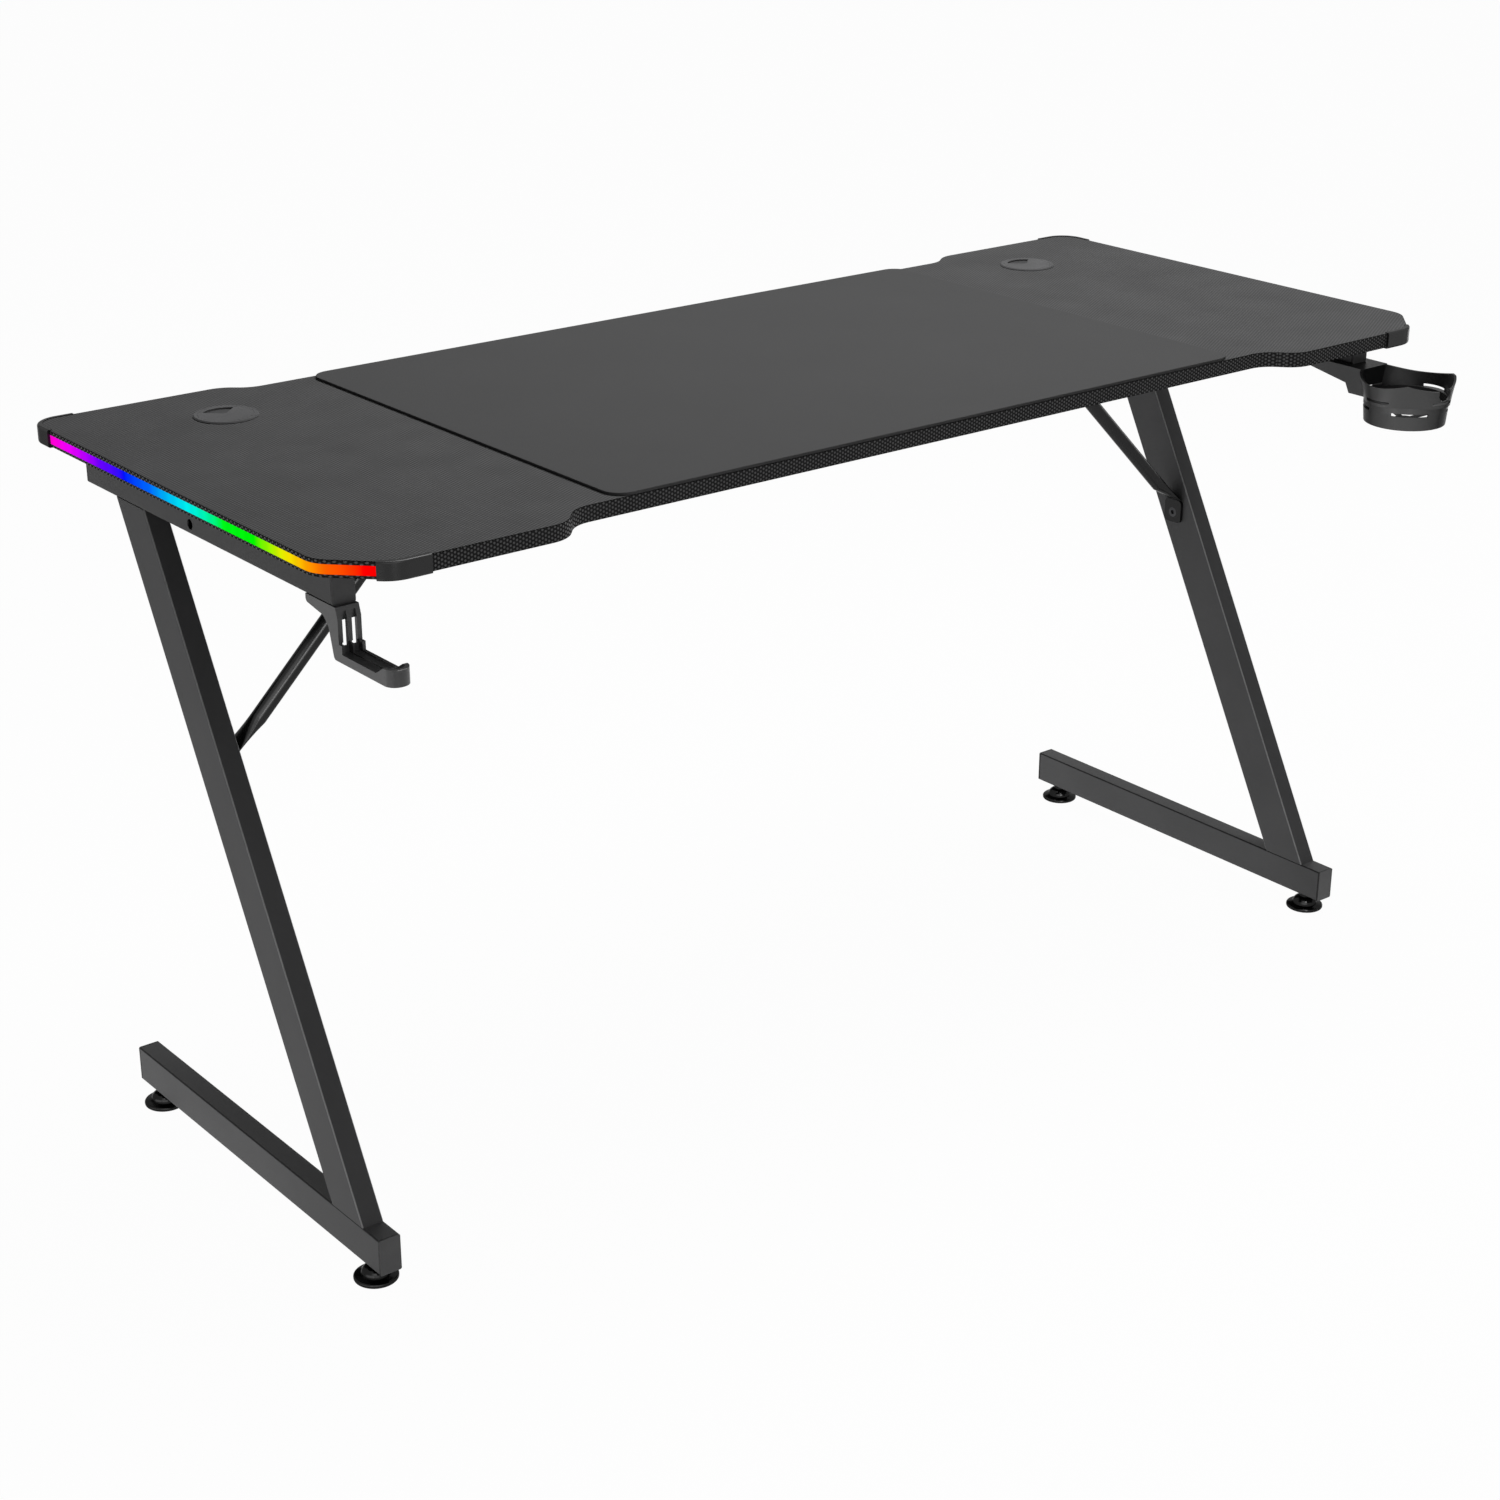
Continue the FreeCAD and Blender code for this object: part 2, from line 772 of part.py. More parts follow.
def crossbeam_bolts():
    made = []
    for z in beam_bolt_heights():
        seat = Vector(-rail_inner - tube_wall, beam_y, z)
        bolt = screw(frame_bolt_radius, tube_wall + beam_plate + frame_bolt_reach,
                     frame_bolt_head_radius, frame_bolt_head, seat, along_x)
        top = seat - along_x * frame_bolt_head
        socket = rod(socket_radius, top - along_x * overrun, top + along_x * socket_depth)
        made += both_sides(bolt.cut(socket))
    return made


def section(middle, wide, deep, half_width, half_depth):
    """Elliptical wire about a middle point: half_width along wide, half_depth along deep."""
    if half_width > half_depth:
        curve = Part.Ellipse(Vector(0, 0, 0), half_width, half_depth).toShape()
    else:
        curve = Part.Circle(Vector(0, 0, 0), along_z, half_width).toShape()
    normal = wide.cross(deep)
    turn = FreeCAD.Matrix(wide.x, deep.x, normal.x, middle.x, wide.y, deep.y, normal.y, middle.y,
                          wide.z, deep.z, normal.z, middle.z, 0, 0, 0, 1)
    return Part.Wire([curve.transformGeometry(turn)])


def brace_tab_plate(x0, x1, y0, y1, z0, z1, along):
    return softened(box(x0, x1, y0, y1, z0, z1), brace_tab_corner, along)


def brace_bolt_hole(bolt, axis):
    """Countersunk hole through a flattened end, entered from the side away from the frame."""
    face = bolt - axis * brace_tab
    bore = rod(brace_bolt_radius + bolt_clearance, face - axis * overrun, bolt + axis * overrun)
    sink = Part.makeCone(brace_bolt_head_radius, brace_bolt_radius, brace_bolt_head, face, axis)
    return [bore, sink]


def brace():
    low, high, low_bolt, high_bolt = brace_places()
    along = (high - low).normalize()
    across = along.cross(along_y)
    half_tab = brace_tab_width / 2
    start = low + along * brace_flatten
    end = high - along * brace_flatten
    flat_low = Vector(-rail_inner + brace_tab / 2, beam_y, low.z)
    flat_high = Vector(high.x, beam_y, rail_bottom - brace_tab / 2)
    foot = Part.makeLoft([section(flat_low, along_y, -along_x, half_tab, brace_tab / 2),
                          section(start, along_y, -across, brace_radius, brace_radius)], True)
    head = Part.makeLoft([section(end, along_y, -across, brace_radius, brace_radius),
                          section(flat_high, along_y, along_z, half_tab, brace_tab / 2)], True)
    low_tab = brace_tab_plate(-rail_inner, brace_tab - rail_inner, beam_y - half_tab, beam_y + half_tab,
                              brace_bolt_z - brace_tab_end, low.z, along_x)
    high_tab = brace_tab_plate(high.x, high_bolt.x + brace_tab_end, beam_y - half_tab, beam_y + half_tab,
                               rail_bottom - brace_tab, rail_bottom, along_z)
    whole = low_tab.fuse([foot, rod(brace_radius, start, end), head, high_tab])
    return whole.cut(brace_bolt_hole(low_bolt, -along_x) + brace_bolt_hole(high_bolt, along_z))


def brace_bolt(bolt, axis):
    face = bolt - axis * brace_tab
    shank = rod(brace_bolt_radius, face, face + axis * brace_bolt_length)
    head = Part.makeCone(brace_bolt_head_radius - thread_clearance, brace_bolt_radius - thread_clearance,
                         brace_bolt_head, face, axis)
    socket = rod(socket_radius, face - axis * overrun, face + axis * socket_depth)
    return fused([shank, head]).cut(socket)


def brace_bolts():
    low, high, low_bolt, high_bolt = brace_places()
    return both_sides(brace_bolt(low_bolt, -along_x)) + both_sides(brace_bolt(high_bolt, along_z))


def rivet_nut(bolt, axis):
    sleeve = rod(rivet_nut_radius, bolt, bolt + axis * rivet_nut_length)
    behind = bolt + axis * tube_wall
    bulb = rod(rivet_nut_bulb_radius, behind, behind + axis * rivet_nut_bulb)
    bore = rod(brace_bolt_radius + thread_clearance, bolt - axis * overrun,
               bolt + axis * (rivet_nut_length + overrun))
    return fused([sleeve, bulb]).cut(bore)


def rivet_nuts():
    low, high, low_bolt, high_bolt = brace_places()
    return both_sides(rivet_nut(low_bolt, -along_x)) + both_sides(rivet_nut(high_bolt, along_z))


def desktop_screws():
    made = []
    for y in desktop_screw_ys():
        seat = Vector(-rail_from_middle, y, board_bottom - tube_wall)
        made += both_sides(screw(desktop_screw_radius, desktop_screw_depth, desktop_screw_head_radius,
                                 desktop_screw_head, seat, along_z))
    return made


# Levelling feet

def foot_pad(x, y):
    top = foot_gap - pad_to_rail
    bore = stud_radius + bolt_clearance
    pocket = stud_button_radius + bolt_clearance
    pocket_top = stud_seat + stud_play + stud_button + bolt_clearance
    rim = pad_radius - pad_edge
    profile = [(0, 0)]
    profile += arc_points(rim, pad_edge, pad_edge, pad_edge, -90, 0)
    profile += arc_points(rim, pad_rim - pad_edge, pad_edge, pad_edge, 0, 90)
    profile += arc_points(pad_neck_radius, pad_dome_foot, pad_dome_radius - pad_neck_radius, pad_dome, 0, 90)
    profile += [(pad_neck_radius, top), (bore, top), (bore, pocket_top), (pocket, pocket_top),
                (pocket, stud_seat), (0, stud_seat)]
    return turned(profile, x, y)


def foot_stud(x, y):
    base = stud_seat + stud_play
    button = upright(stud_button_radius, x, y, base, base + stud_button)
    return fused([button, upright(stud_radius, x, y, base, foot_gap + stud_reserve)])


def foot_insert(x, y):
    sleeve = upright(insert_radius, x, y, foot_gap, foot_gap + insert_length)
    return sleeve.cut(upright(stud_radius + thread_clearance, x, y, foot_gap - overrun,
                              foot_gap + insert_length + overrun))


def feet():
    made = {}
    for side, x in (("left", -rail_from_middle), ("right", rail_from_middle)):
        for end, y in zip(("front", "rear"), foot_ys()):
            made[end + "_" + side + "_foot_pad"] = foot_pad(x, y)
            made[end + "_" + side + "_foot_stud"] = foot_stud(x, y)
    return made


def foot_inserts():
    return [foot_insert(x, y) for x in (-rail_from_middle, rail_from_middle) for y in foot_ys()]


# Headphone hook

def hook_screw_ys():
    return [top_rail_front + reach for reach in hook_screw_reaches]


def hook_outline():
    """Side view of the hook as (y, z, corner radius), from its rear top corner round."""
    y = top_rail_front
    low = rail_bottom - hook_drop
    tip = y - hook_arm_reach
    arm_top = low + hook_arm_thickness
    plate = y - hook_plate_front
    step = plate - hook_step_reach
    return [
        (y + hook_rear_reach, rail_bottom, 0),
        (y + hook_rear_reach, rail_bottom - hook_rear_depth, hook_heel_radius),
        (y + hook_gusset_reach, rail_bottom - hook_gusset_depth, hook_bend_radius),
        (y + hook_back_reach, rail_bottom - hook_gusset_depth - hook_bend_radius, hook_bend_radius),
        (y + hook_heel_back, low, hook_heel_radius),
        (tip, low, 0), (tip, low + hook_tip_height, hook_heel_radius / 2),
        (tip + hook_tip_land, low + hook_tip_height, hook_heel_radius),
        (tip + hook_tip_land + hook_ramp, arm_top, hook_heel_radius),
        (step, arm_top, 0), (step, arm_top + hook_step_height, 0),
        (plate, arm_top + hook_step_height, 0), (plate, rail_bottom - hook_lean, 0),
        (y - hook_front_overhang, rail_bottom, 0),
    ]


def hook_plan(inset, front, rear):
    """Plan outline of the hook with its round tip, moved in by an inset."""
    side = hook_width / 2 - inset
    round_tip = side - hook_edge_radius
    tip = front + inset
    corners = [(-side, rear, 0), (side, rear, 0), (side, tip, round_tip), (-side, tip, round_tip)]
    return [(Vector(x - rail_from_middle, y, rail_bottom - hook_drop), radius) for x, y, radius in corners]


def hook_slots(arm_top, front):
    """Two slots through the upright plate, a blind pocket over each, and two panels in the arm."""
    slot = (hook_width - 3 * hook_rib) / 2
    plate = top_rail_front - hook_plate_front
    step = plate - hook_step_reach
    floor = arm_top + hook_slot_floor
    tools = []
    for index in range(2):
        x0 = -rail_from_middle - hook_width / 2 + hook_rib + index * (slot + hook_rib)
        x1 = x0 + slot
        tools.append(box(x0, x1, step - overrun, plate + hook_plate + overrun,
                         floor, rail_bottom - hook_gusset_depth))
        low = rail_bottom - hook_gusset_depth
        high = rail_bottom - hook_top_plate
        pocket = [(step - overrun, low), (plate + hook_plate, low), (plate + hook_slot_back, high),
                  (step - overrun, high)]
        tools.append(prism([(Vector(x0, y, z), 0) for y, z in pocket], Vector(slot, 0, 0)))
        x0 -= hook_panel_margin / 2
        x1 += hook_panel_margin / 2
        tools.append(box(x0, x1, step - overrun, plate + hook_plate / 2, arm_top - hook_panel_depth,
                         arm_top + hook_step_height + overrun))
        tools.append(box(x0, x1, front + hook_tip_land + hook_ramp + hook_panel_margin, step,
                         arm_top - hook_panel_depth, arm_top + overrun))
    return tools


def hook_rear_pocket(arm_top):
    """Space behind the upright plate, which leaves the plate and the web on its outer side."""
    side = -rail_from_middle - hook_width / 2
    front = top_rail_front - hook_plate_front + hook_plate
    rear = top_rail_front + hook_back_reach + hook_bend_radius
    return box(side + hook_rib, side + hook_width + overrun, front, rear,
               arm_top, rail_bottom - hook_gusset_depth)


def headphone_hook():
    front = top_rail_front - hook_arm_reach
    rear = top_rail_front + hook_rear_reach
    low = rail_bottom - hook_drop
    arm_top = low + hook_arm_thickness
    side = -rail_from_middle - hook_width / 2
    lip_rear = front + hook_tip_land + hook_ramp
    up = Vector(0, 0, hook_drop)
    corners = [(Vector(side, y, z), radius) for y, z, radius in hook_outline()]
    body = prism(corners, Vector(hook_width, 0, 0)).common(prism(hook_plan(0, front, rear), up))
    behind_lip = prism(hook_plan(hook_tip_wall, front, lip_rear), up)
    behind_lip.translate(Vector(0, 0, hook_arm_thickness))
    tools = hook_slots(arm_top, front) + [behind_lip, hook_rear_pocket(arm_top)]
    for y in hook_screw_ys():
        tools.append(upright(holder_screw_radius + bolt_clearance, -rail_from_middle, y,
                             low, rail_bottom + overrun))
        tools.append(upright(holder_screw_head_radius + bolt_clearance, -rail_from_middle, y,
                             low, rail_bottom - hook_screw_seat))
    return body.cut(tools)


def holder_screw(x, y, seat_below):
    return screw(holder_screw_radius, holder_screw_length, holder_screw_head_radius, holder_screw_head,
                 Vector(x, y, rail_bottom - seat_below), along_z)


def hook_screws():
    return [holder_screw(-rail_from_middle, y, hook_screw_seat) for y in hook_screw_ys()]


# Cup holder

def cup_screw_ys():
    return [top_rail_front + reach for reach in cup_screw_reaches]


def cup_ring(low_radius, high_radius, z):
    """Closed smooth ring about the cup's axis, wide at the four quarters and narrow between them."""
    steps = 48
    points = []
    for index in range(steps):
        angle = 2 * math.pi * index / steps
        radius = low_radius + (high_radius - low_radius) * (1 + math.cos(4 * angle)) / 2
        points.append(Vector(rail_from_middle + radius * math.cos(angle),
                             cup_y + radius * math.sin(angle), z))
    curve = Part.BSplineCurve()
    curve.interpolate(Points=points, PeriodicFlag=True)
    return Part.Wire([curve.toShape()])


def cup_block(inset, low, shelf, high):
    """Cup's body, moved in by an inset: a plain lower part, and a lobed part that is round at the top."""
    waist = cup_waist_radius - inset
    top = cup_top_radius - inset
    lower = turned([(0, low), (cup_base_radius - inset, low), (waist, cup_bottom + cup_waist_height),
                    (waist, shelf), (0, shelf)], rail_from_middle, cup_y)
    upper = Part.makeLoft([cup_ring(waist, top, shelf), cup_ring(top, top, high)], True, True)
    return lower.fuse(upper)


def cup_hollow():
    hollow = cup_block(cup_wall, cup_bottom + cup_floor, cup_bottom + cup_shelf_height + cup_shelf,
                       rail_bottom + overrun)
    return hollow.cut(box(rail_from_middle - cup_top_radius, rail_from_middle + cup_top_radius,
                          cup_y + cup_flat, cup_y + cup_top_radius + overrun, cup_bottom, desk_height))


def cup_rim_cuts():
    """Shallow scoops that make the rim wavy, and the notch for a mug's handle."""
    tools = []
    for angle, depth in cup_scoops:
        out = Vector(math.cos(math.radians(angle)), math.sin(math.radians(angle)), 0)
        middle = Vector(rail_from_middle, cup_y, rail_bottom - depth + cup_scoop_radius)
        outside = middle + out * (cup_top_radius + overrun)
        tools.append(rod(cup_scoop_radius, middle + out * cup_wall, outside))
    half = cup_notch_width / 2
    notch = box(rail_from_middle - half, rail_from_middle + half, cup_y - cup_top_radius - overrun,
                cup_y - cup_base_radius / 2, cup_bottom + cup_notch_height, desk_height)
    return tools + [softened(notch, cup_notch_round, along_y)]


def cup_slots():
    shelf_top = cup_bottom + cup_shelf_height + cup_shelf
    low = cup_bottom + cup_lower_slot_height
    inner = cup_base_radius / 2
    outer = cup_top_radius + overrun
    tools = []
    for quarter in range(4):
        tools.append(sector(inner, outer, shelf_top, shelf_top + cup_upper_slot, 90 * quarter,
                            cup_upper_slot_angle, rail_from_middle, cup_y))
        tools.append(sector(inner, outer, low, low + cup_lower_slot, 90 * quarter + 45,
                            cup_lower_slot_angle, rail_from_middle, cup_y))
    return tools


def cup_floor_windows():
    """Openings in the cup's floor between a hub and its spokes."""
    low = cup_bottom - overrun
    high = cup_bottom + cup_floor + overrun
    window = upright(cup_floor_window, rail_from_middle, cup_y, low, high)
    kept = [upright(cup_floor_hub, rail_from_middle, cup_y, low, high)]
    for index in range(cup_spokes):
        spoke = box(rail_from_middle, rail_from_middle + cup_base_radius, cup_y - cup_spoke / 2,
                    cup_y + cup_spoke / 2, low, high)
        spoke.rotate(Vector(rail_from_middle, cup_y, 0), along_z, 360 / cup_spokes * index)
        kept.append(spoke)
    return window.cut(kept)


def cup_arm():
    """Plate under the rail with a web down each side, running forward to the cup."""
    rear = top_rail_front + arm_rear_reach
    heel = rail_bottom - arm_heel_drop
    half = arm_width / 2
    plate = box(rail_from_middle - half, rail_from_middle + half, cup_y, rear,
                rail_bottom - arm_plate, rail_bottom)
    plate = softened(plate, tube_corner, along_z)
    profile = [
        (rear, rail_bottom - arm_plate), (rear, rail_bottom - arm_plate - arm_web),
        (top_rail_front - arm_knee_reach, rail_bottom - arm_knee_drop),
        (top_rail_front - arm_heel_reach, heel), (cup_y, heel), (cup_y, rail_bottom - arm_plate),
    ]
    web = prism([(Vector(rail_from_middle - half, y, z), 0) for y, z in profile], Vector(arm_web, 0, 0))
    other = web.copy()
    other.translate(Vector(arm_width - arm_web, 0, 0))
    holes = [upright(holder_screw_radius + bolt_clearance, rail_from_middle, y, heel, rail_bottom + overrun)
             for y in cup_screw_ys()]
    return fused([plate, web, other]).cut(holes)


def cup_holder():
    shelf = cup_bottom + cup_shelf_height
    outer = cup_block(0, cup_bottom, shelf, rail_bottom)
    cup = outer.cut([cup_hollow(), cup_floor_windows()] + cup_rim_cuts() + cup_slots())
    arm = cup_arm().cut(outer)
    return fused([cup, arm])


def cup_holder_screws():
    return [holder_screw(rail_from_middle, y, arm_plate) for y in cup_screw_ys()]


# Light controller and its leads

def controller_bounds():
    half_width = controller_width / 2
    half_run = controller_length / 2
    return (controller_x - half_width, controller_x + half_width,
            controller_y - half_run, controller_y + half_run)


def controller_screw_places():
    x0, x1, y0, y1 = controller_bounds()
    return [Vector(x, controller_y, 0) for x in (x0 - controller_ear / 2, x1 + controller_ear / 2)]


def lid_post_places():
    x0, x1, y0, y1 = controller_bounds()
    inset = controller_wall + lid_post / 2
    return [Vector(x0 + inset, y0 + inset, 0), Vector(x1 - inset, y1 - inset, 0)]


def lead_xs():
    return [controller_x - lead_spacing / 2, controller_x + lead_spacing / 2]


def socket_z():
    return board_bottom - circuit_below_top - circuit_thickness - socket_height / 2


def controller_housing():
    x0, x1, y0, y1 = controller_bounds()
    low = board_bottom - controller_height + controller_lid
    shell = box(x0, x1, y0, y1, low, board_bottom)
    inside = box(x0 + controller_wall, x1 - controller_wall, y0 + controller_wall, y1 - controller_wall,
                 low - overrun, board_bottom - controller_wall)
    ears = box(x0 - controller_ear, x1 + controller_ear,
               controller_y - controller_ear_width / 2, controller_y + controller_ear_width / 2,
               board_bottom - controller_ear_thickness, board_bottom)
    posts = [box(p.x - lid_post / 2, p.x + lid_post / 2, p.y - lid_post / 2, p.y + lid_post / 2,
                 low, board_bottom - controller_wall) for p in lid_post_places()]
    tools = [upright(controller_screw_radius + bolt_clearance, p.x, p.y,
                     board_bottom - controller_ear_thickness - overrun, board_bottom + overrun)
             for p in controller_screw_places()]
    tools += [upright(lid_screw_radius + thread_clearance, p.x, p.y, low - overrun, low + lid_screw_length)
              for p in lid_post_places()]
    tools += [rod(lead_radius + clip_clearance, Vector(x, y1 - controller_wall - overrun, lead_z),
                  Vector(x, y1 + overrun, lead_z)) for x in lead_xs()]
    half = socket_width / 2 + clip_clearance
    rise = socket_height / 2 + clip_clearance
    tools.append(box(controller_x - half, controller_x + half, y0 - overrun, y0 + controller_wall + overrun,
                     socket_z() - rise, socket_z() + rise))
    return fused([shell.fuse(ears).cut(inside)] + posts).cut(tools)


def controller_cover():
    x0, x1, y0, y1 = controller_bounds()
    low = board_bottom - controller_height
    plate = softened(box(x0, x1, y0, y1, low, low + controller_lid), controller_lid, along_z)
    high = low + controller_lid + overrun
    holes = [upright(lid_screw_radius + bolt_clearance, p.x, p.y, low - overrun, high)
             for p in lid_post_places()]
    holes.append(upright(button_radius + button_clearance, controller_x, controller_y, low - overrun, high))
    return plate.cut(holes)


def circuit_board():
    """Circuit board with its push switch, held between the two posts."""
    x0, x1, y0, y1 = controller_bounds()
    margin = controller_wall + circuit_margin
    high = board_bottom - circuit_below_top
    plate = box(x0 + margin, x1 - margin, y0 + margin, y1 - margin, high - circuit_thickness, high)
    gap = lid_post / 2 + circuit_margin
    notches = [box(p.x - gap, p.x + gap, p.y - gap, p.y + gap,
                   high - circuit_thickness - overrun, high + overrun) for p in lid_post_places()]
    half = switch_width / 2
    switch = box(controller_x - half, controller_x + half, controller_y - half, controller_y + half,
                 high - circuit_thickness - switch_height, high - circuit_thickness)
    return fused([plate.cut(notches), switch])


def push_button():
    low = board_bottom - controller_height
    switch_face = board_bottom - circuit_below_top - circuit_thickness - switch_height
    cap = upright(button_radius, controller_x, controller_y, low - button_proud, low + controller_lid)
    flange = upright(button_flange_radius, controller_x, controller_y, low + controller_lid,
                     low + controller_lid + button_flange)
    stem = upright(button_radius / 2, controller_x, controller_y, low + controller_lid,
                   switch_face - button_travel - button_clearance)
    return fused([cap, flange, stem])


def power_socket():
    x0, x1, y0, y1 = controller_bounds()
    z = socket_z()
    half = socket_width / 2
    rise = socket_height / 2
    back = y0 + socket_length
    inner = half - socket_shell
    inner_rise = rise - socket_shell
    shell = softened(box(controller_x - half, controller_x + half, y0, back, z - rise, z + rise),
                     inner_rise, along_y)
    cavity = softened(box(controller_x - inner, controller_x + inner,
                          y0 - overrun, back - socket_tongue_back,
                          z - inner_rise, z + inner_rise), inner_rise - socket_shell, along_y)
    tongue = box(controller_x - half / 2, controller_x + half / 2, y0 + socket_tongue_back, back,
                 z - socket_tongue / 2, z + socket_tongue / 2)
    return fused([shell.cut(cavity), tongue])


def controller_mounting_screws():
    return [screw(controller_screw_radius, controller_screw_depth, controller_screw_head_radius,
                  controller_screw_head, Vector(p.x, p.y, board_bottom - controller_ear_thickness), along_z)
            for p in controller_screw_places()]


def controller_lid_screws():
    low = board_bottom - controller_height
    return [screw(lid_screw_radius, lid_screw_length, lid_screw_head_radius, lid_screw_head,
                  Vector(p.x, p.y, low), along_z) for p in lid_post_places()]


def lead(start_x, side):
    """Lead from the controller's rear wall to a light tape: side is -1 for left, 1 for right."""
    rear = controller_bounds()[3] - controller_wall
    end_x = side * lead_end_x
    turn = math.sqrt(0.5)
    a = Vector(start_x, rear, lead_z)
    b = Vector(start_x, lead_y - lead_bend, lead_z)
    b_mid = Vector(start_x + side * lead_bend * (1 - turn), lead_y - lead_bend * (1 - turn), lead_z)
    c = Vector(start_x + side * lead_bend, lead_y, lead_z)
    d = Vector(end_x - side * lead_rise_bend, lead_y, lead_z)
    d_mid = Vector(end_x - side * lead_rise_bend * (1 - turn), lead_y, lead_z + lead_rise_bend * (1 - turn))
    e = Vector(end_x, lead_y, lead_z + lead_rise_bend)
    f = Vector(end_x, lead_y, led_bottom + led_slot_height / 2)
    path = Part.Wire([Part.makeLine(a, b), Part.Arc(b, b_mid, c).toShape(), Part.makeLine(c, d),
                      Part.Arc(d, d_mid, e).toShape(), Part.makeLine(e, f)])
    profile = Part.Wire([Part.makeCircle(lead_radius, a, along_y)])
    solid = path.makePipeShell([profile], True, False)
    filled = solid.Volume / (math.pi * lead_radius ** 2 * path.Length)
    print("lead bends", lead_bend, lead_rise_bend, "length", round(path.Length, 1),
          "volume over section times length", round(filled, 4))
    return solid


def lead_clip(x):
    low = lead_z - lead_radius - clip_floor
    block = box(x - clip_length / 2, x + clip_length / 2, lead_y - clip_width / 2, lead_y + clip_width / 2,
                low, board_bottom)
    groove = rod(lead_radius + clip_clearance, Vector(x - clip_length, lead_y, lead_z),
                 Vector(x + clip_length, lead_y, lead_z))
    return block.cut(groove)


def lead_clips():
    left_x, right_x = lead_xs()
    start = right_x + lead_bend
    places = [start + share * (lead_end_x - start) for share in clip_shares]
    far_left = left_x - lead_bend
    places.append(far_left - left_clip_share * (far_left + lead_end_x))
    return [lead_clip(x) for x in places]


# Every piece under its name

def make_parts():
    slot_back = led_tape_thickness - led_slot_depth
    tape = edge_strip(slot_back, -led_slot_depth)
    diffuser = edge_strip(-led_face_recess, slot_back)
    left_lead_x, right_lead_x = lead_xs()
    parts = {
        "desktop_board": desktop_board(),
        "corner_guard_screws": guard_screws(),
        "left_led_diffuser": diffuser,
        "right_led_diffuser": mirrored(diffuser),
        "left_led_tape": tape,
        "right_led_tape": mirrored(tape),
        "desk_mat": desk_mat(),
        "left_top_rail": top_rail(hook_screw_ys()),
        "right_top_rail": mirrored(top_rail(cup_screw_ys())),
        "left_leg_post": leg_post(),
        "right_leg_post": mirrored(leg_post()),
        "left_foot_rail": foot_rail(),
        "right_foot_rail": mirrored(foot_rail()),
        "top_rail_end_caps": end_caps(top_rail_front, top_rail_rear, rail_bottom),
        "foot_rail_end_caps": end_caps(foot_rail_front, foot_rail_rear, foot_gap),
        "crossbeam": crossbeam(),
        "crossbeam_end_plates": crossbeam_end_plates(),
        "crossbeam_bolts": crossbeam_bolts(),
        "left_brace": brace(),
        "right_brace": mirrored(brace()),
        "brace_bolts": brace_bolts(),
        "brace_rivet_nuts": rivet_nuts(),
        "desktop_screws": desktop_screws(),
        "foot_inserts": foot_inserts(),
        "headphone_hook": headphone_hook(),
        "hook_screws": hook_screws(),
        "cup_holder": cup_holder(),
        "cup_holder_screws": cup_holder_screws(),
        "controller_housing": controller_housing(),
        "controller_lid": controller_cover(),
        "controller_circuit_board": circuit_board(),
        "controller_button": push_button(),
        "power_socket": power_socket(),
        "controller_mounting_screws": controller_mounting_screws(),
        "controller_lid_screws": controller_lid_screws(),
        "left_light_lead": lead(left_lead_x, -1),
        "right_light_lead": lead(right_lead_x, 1),
        "lead_clips": lead_clips(),
    }
    for side, x in (("left", -grommet_from_middle), ("right", grommet_from_middle)):
        parts[side + "_grommet_liner"] = grommet_liner(x)
        parts[side + "_grommet_cap"] = grommet_cap(x)
        parts[side + "_grommet_shutter"] = grommet_shutter(x)
    parts.update(corner_guards())
    parts.update(feet())
    return parts


def export(name, made):
    solids = made if isinstance(made, list) else [made]
    shape = Part.makeCompound([solid for piece in solids for solid in piece.Solids])
    shape.translate(to_origin)
    shape.exportStep("parts/" + name + ".step")
    print(name, len(shape.Solids), shape.isValid(), round(shape.Volume))


for name, made in make_parts().items():
    export(name, made)
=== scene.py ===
import json
import math

import bmesh
import bpy
from bpy.props import FloatProperty, FloatVectorProperty, IntProperty, PointerProperty
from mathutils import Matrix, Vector


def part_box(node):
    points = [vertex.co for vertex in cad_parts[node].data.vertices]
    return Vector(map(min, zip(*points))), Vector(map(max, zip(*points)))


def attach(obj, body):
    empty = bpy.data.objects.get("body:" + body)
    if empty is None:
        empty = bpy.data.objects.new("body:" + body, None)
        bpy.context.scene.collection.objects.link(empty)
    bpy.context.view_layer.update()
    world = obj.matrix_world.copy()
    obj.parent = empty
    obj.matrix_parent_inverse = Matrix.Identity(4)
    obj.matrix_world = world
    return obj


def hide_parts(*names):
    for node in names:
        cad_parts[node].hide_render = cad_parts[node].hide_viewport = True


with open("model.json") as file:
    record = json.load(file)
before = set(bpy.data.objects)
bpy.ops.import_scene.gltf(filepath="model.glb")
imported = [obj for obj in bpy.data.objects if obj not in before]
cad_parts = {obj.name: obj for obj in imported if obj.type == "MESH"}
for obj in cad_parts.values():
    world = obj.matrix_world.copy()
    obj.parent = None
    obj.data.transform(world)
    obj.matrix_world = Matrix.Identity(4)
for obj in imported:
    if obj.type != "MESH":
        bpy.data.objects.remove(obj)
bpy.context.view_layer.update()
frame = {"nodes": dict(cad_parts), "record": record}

bl_info = {
    "name": "Z-leg desk",
    "version": (1, 0, 0),
    "blender": (4, 5, 0),
    "location": "3D View > Sidebar > Desk",
    "description": "Dresses the packed desk in film, cloth, paint and plastic, in a studio",
    "category": "Object",
}

NODES = frame["nodes"]
SLOT_OF_NODE = {part["node"]: part["material_slot"] for part in frame["record"]["subparts"]}
SIDES = ("left", "right")
ENDS = ("front", "rear")

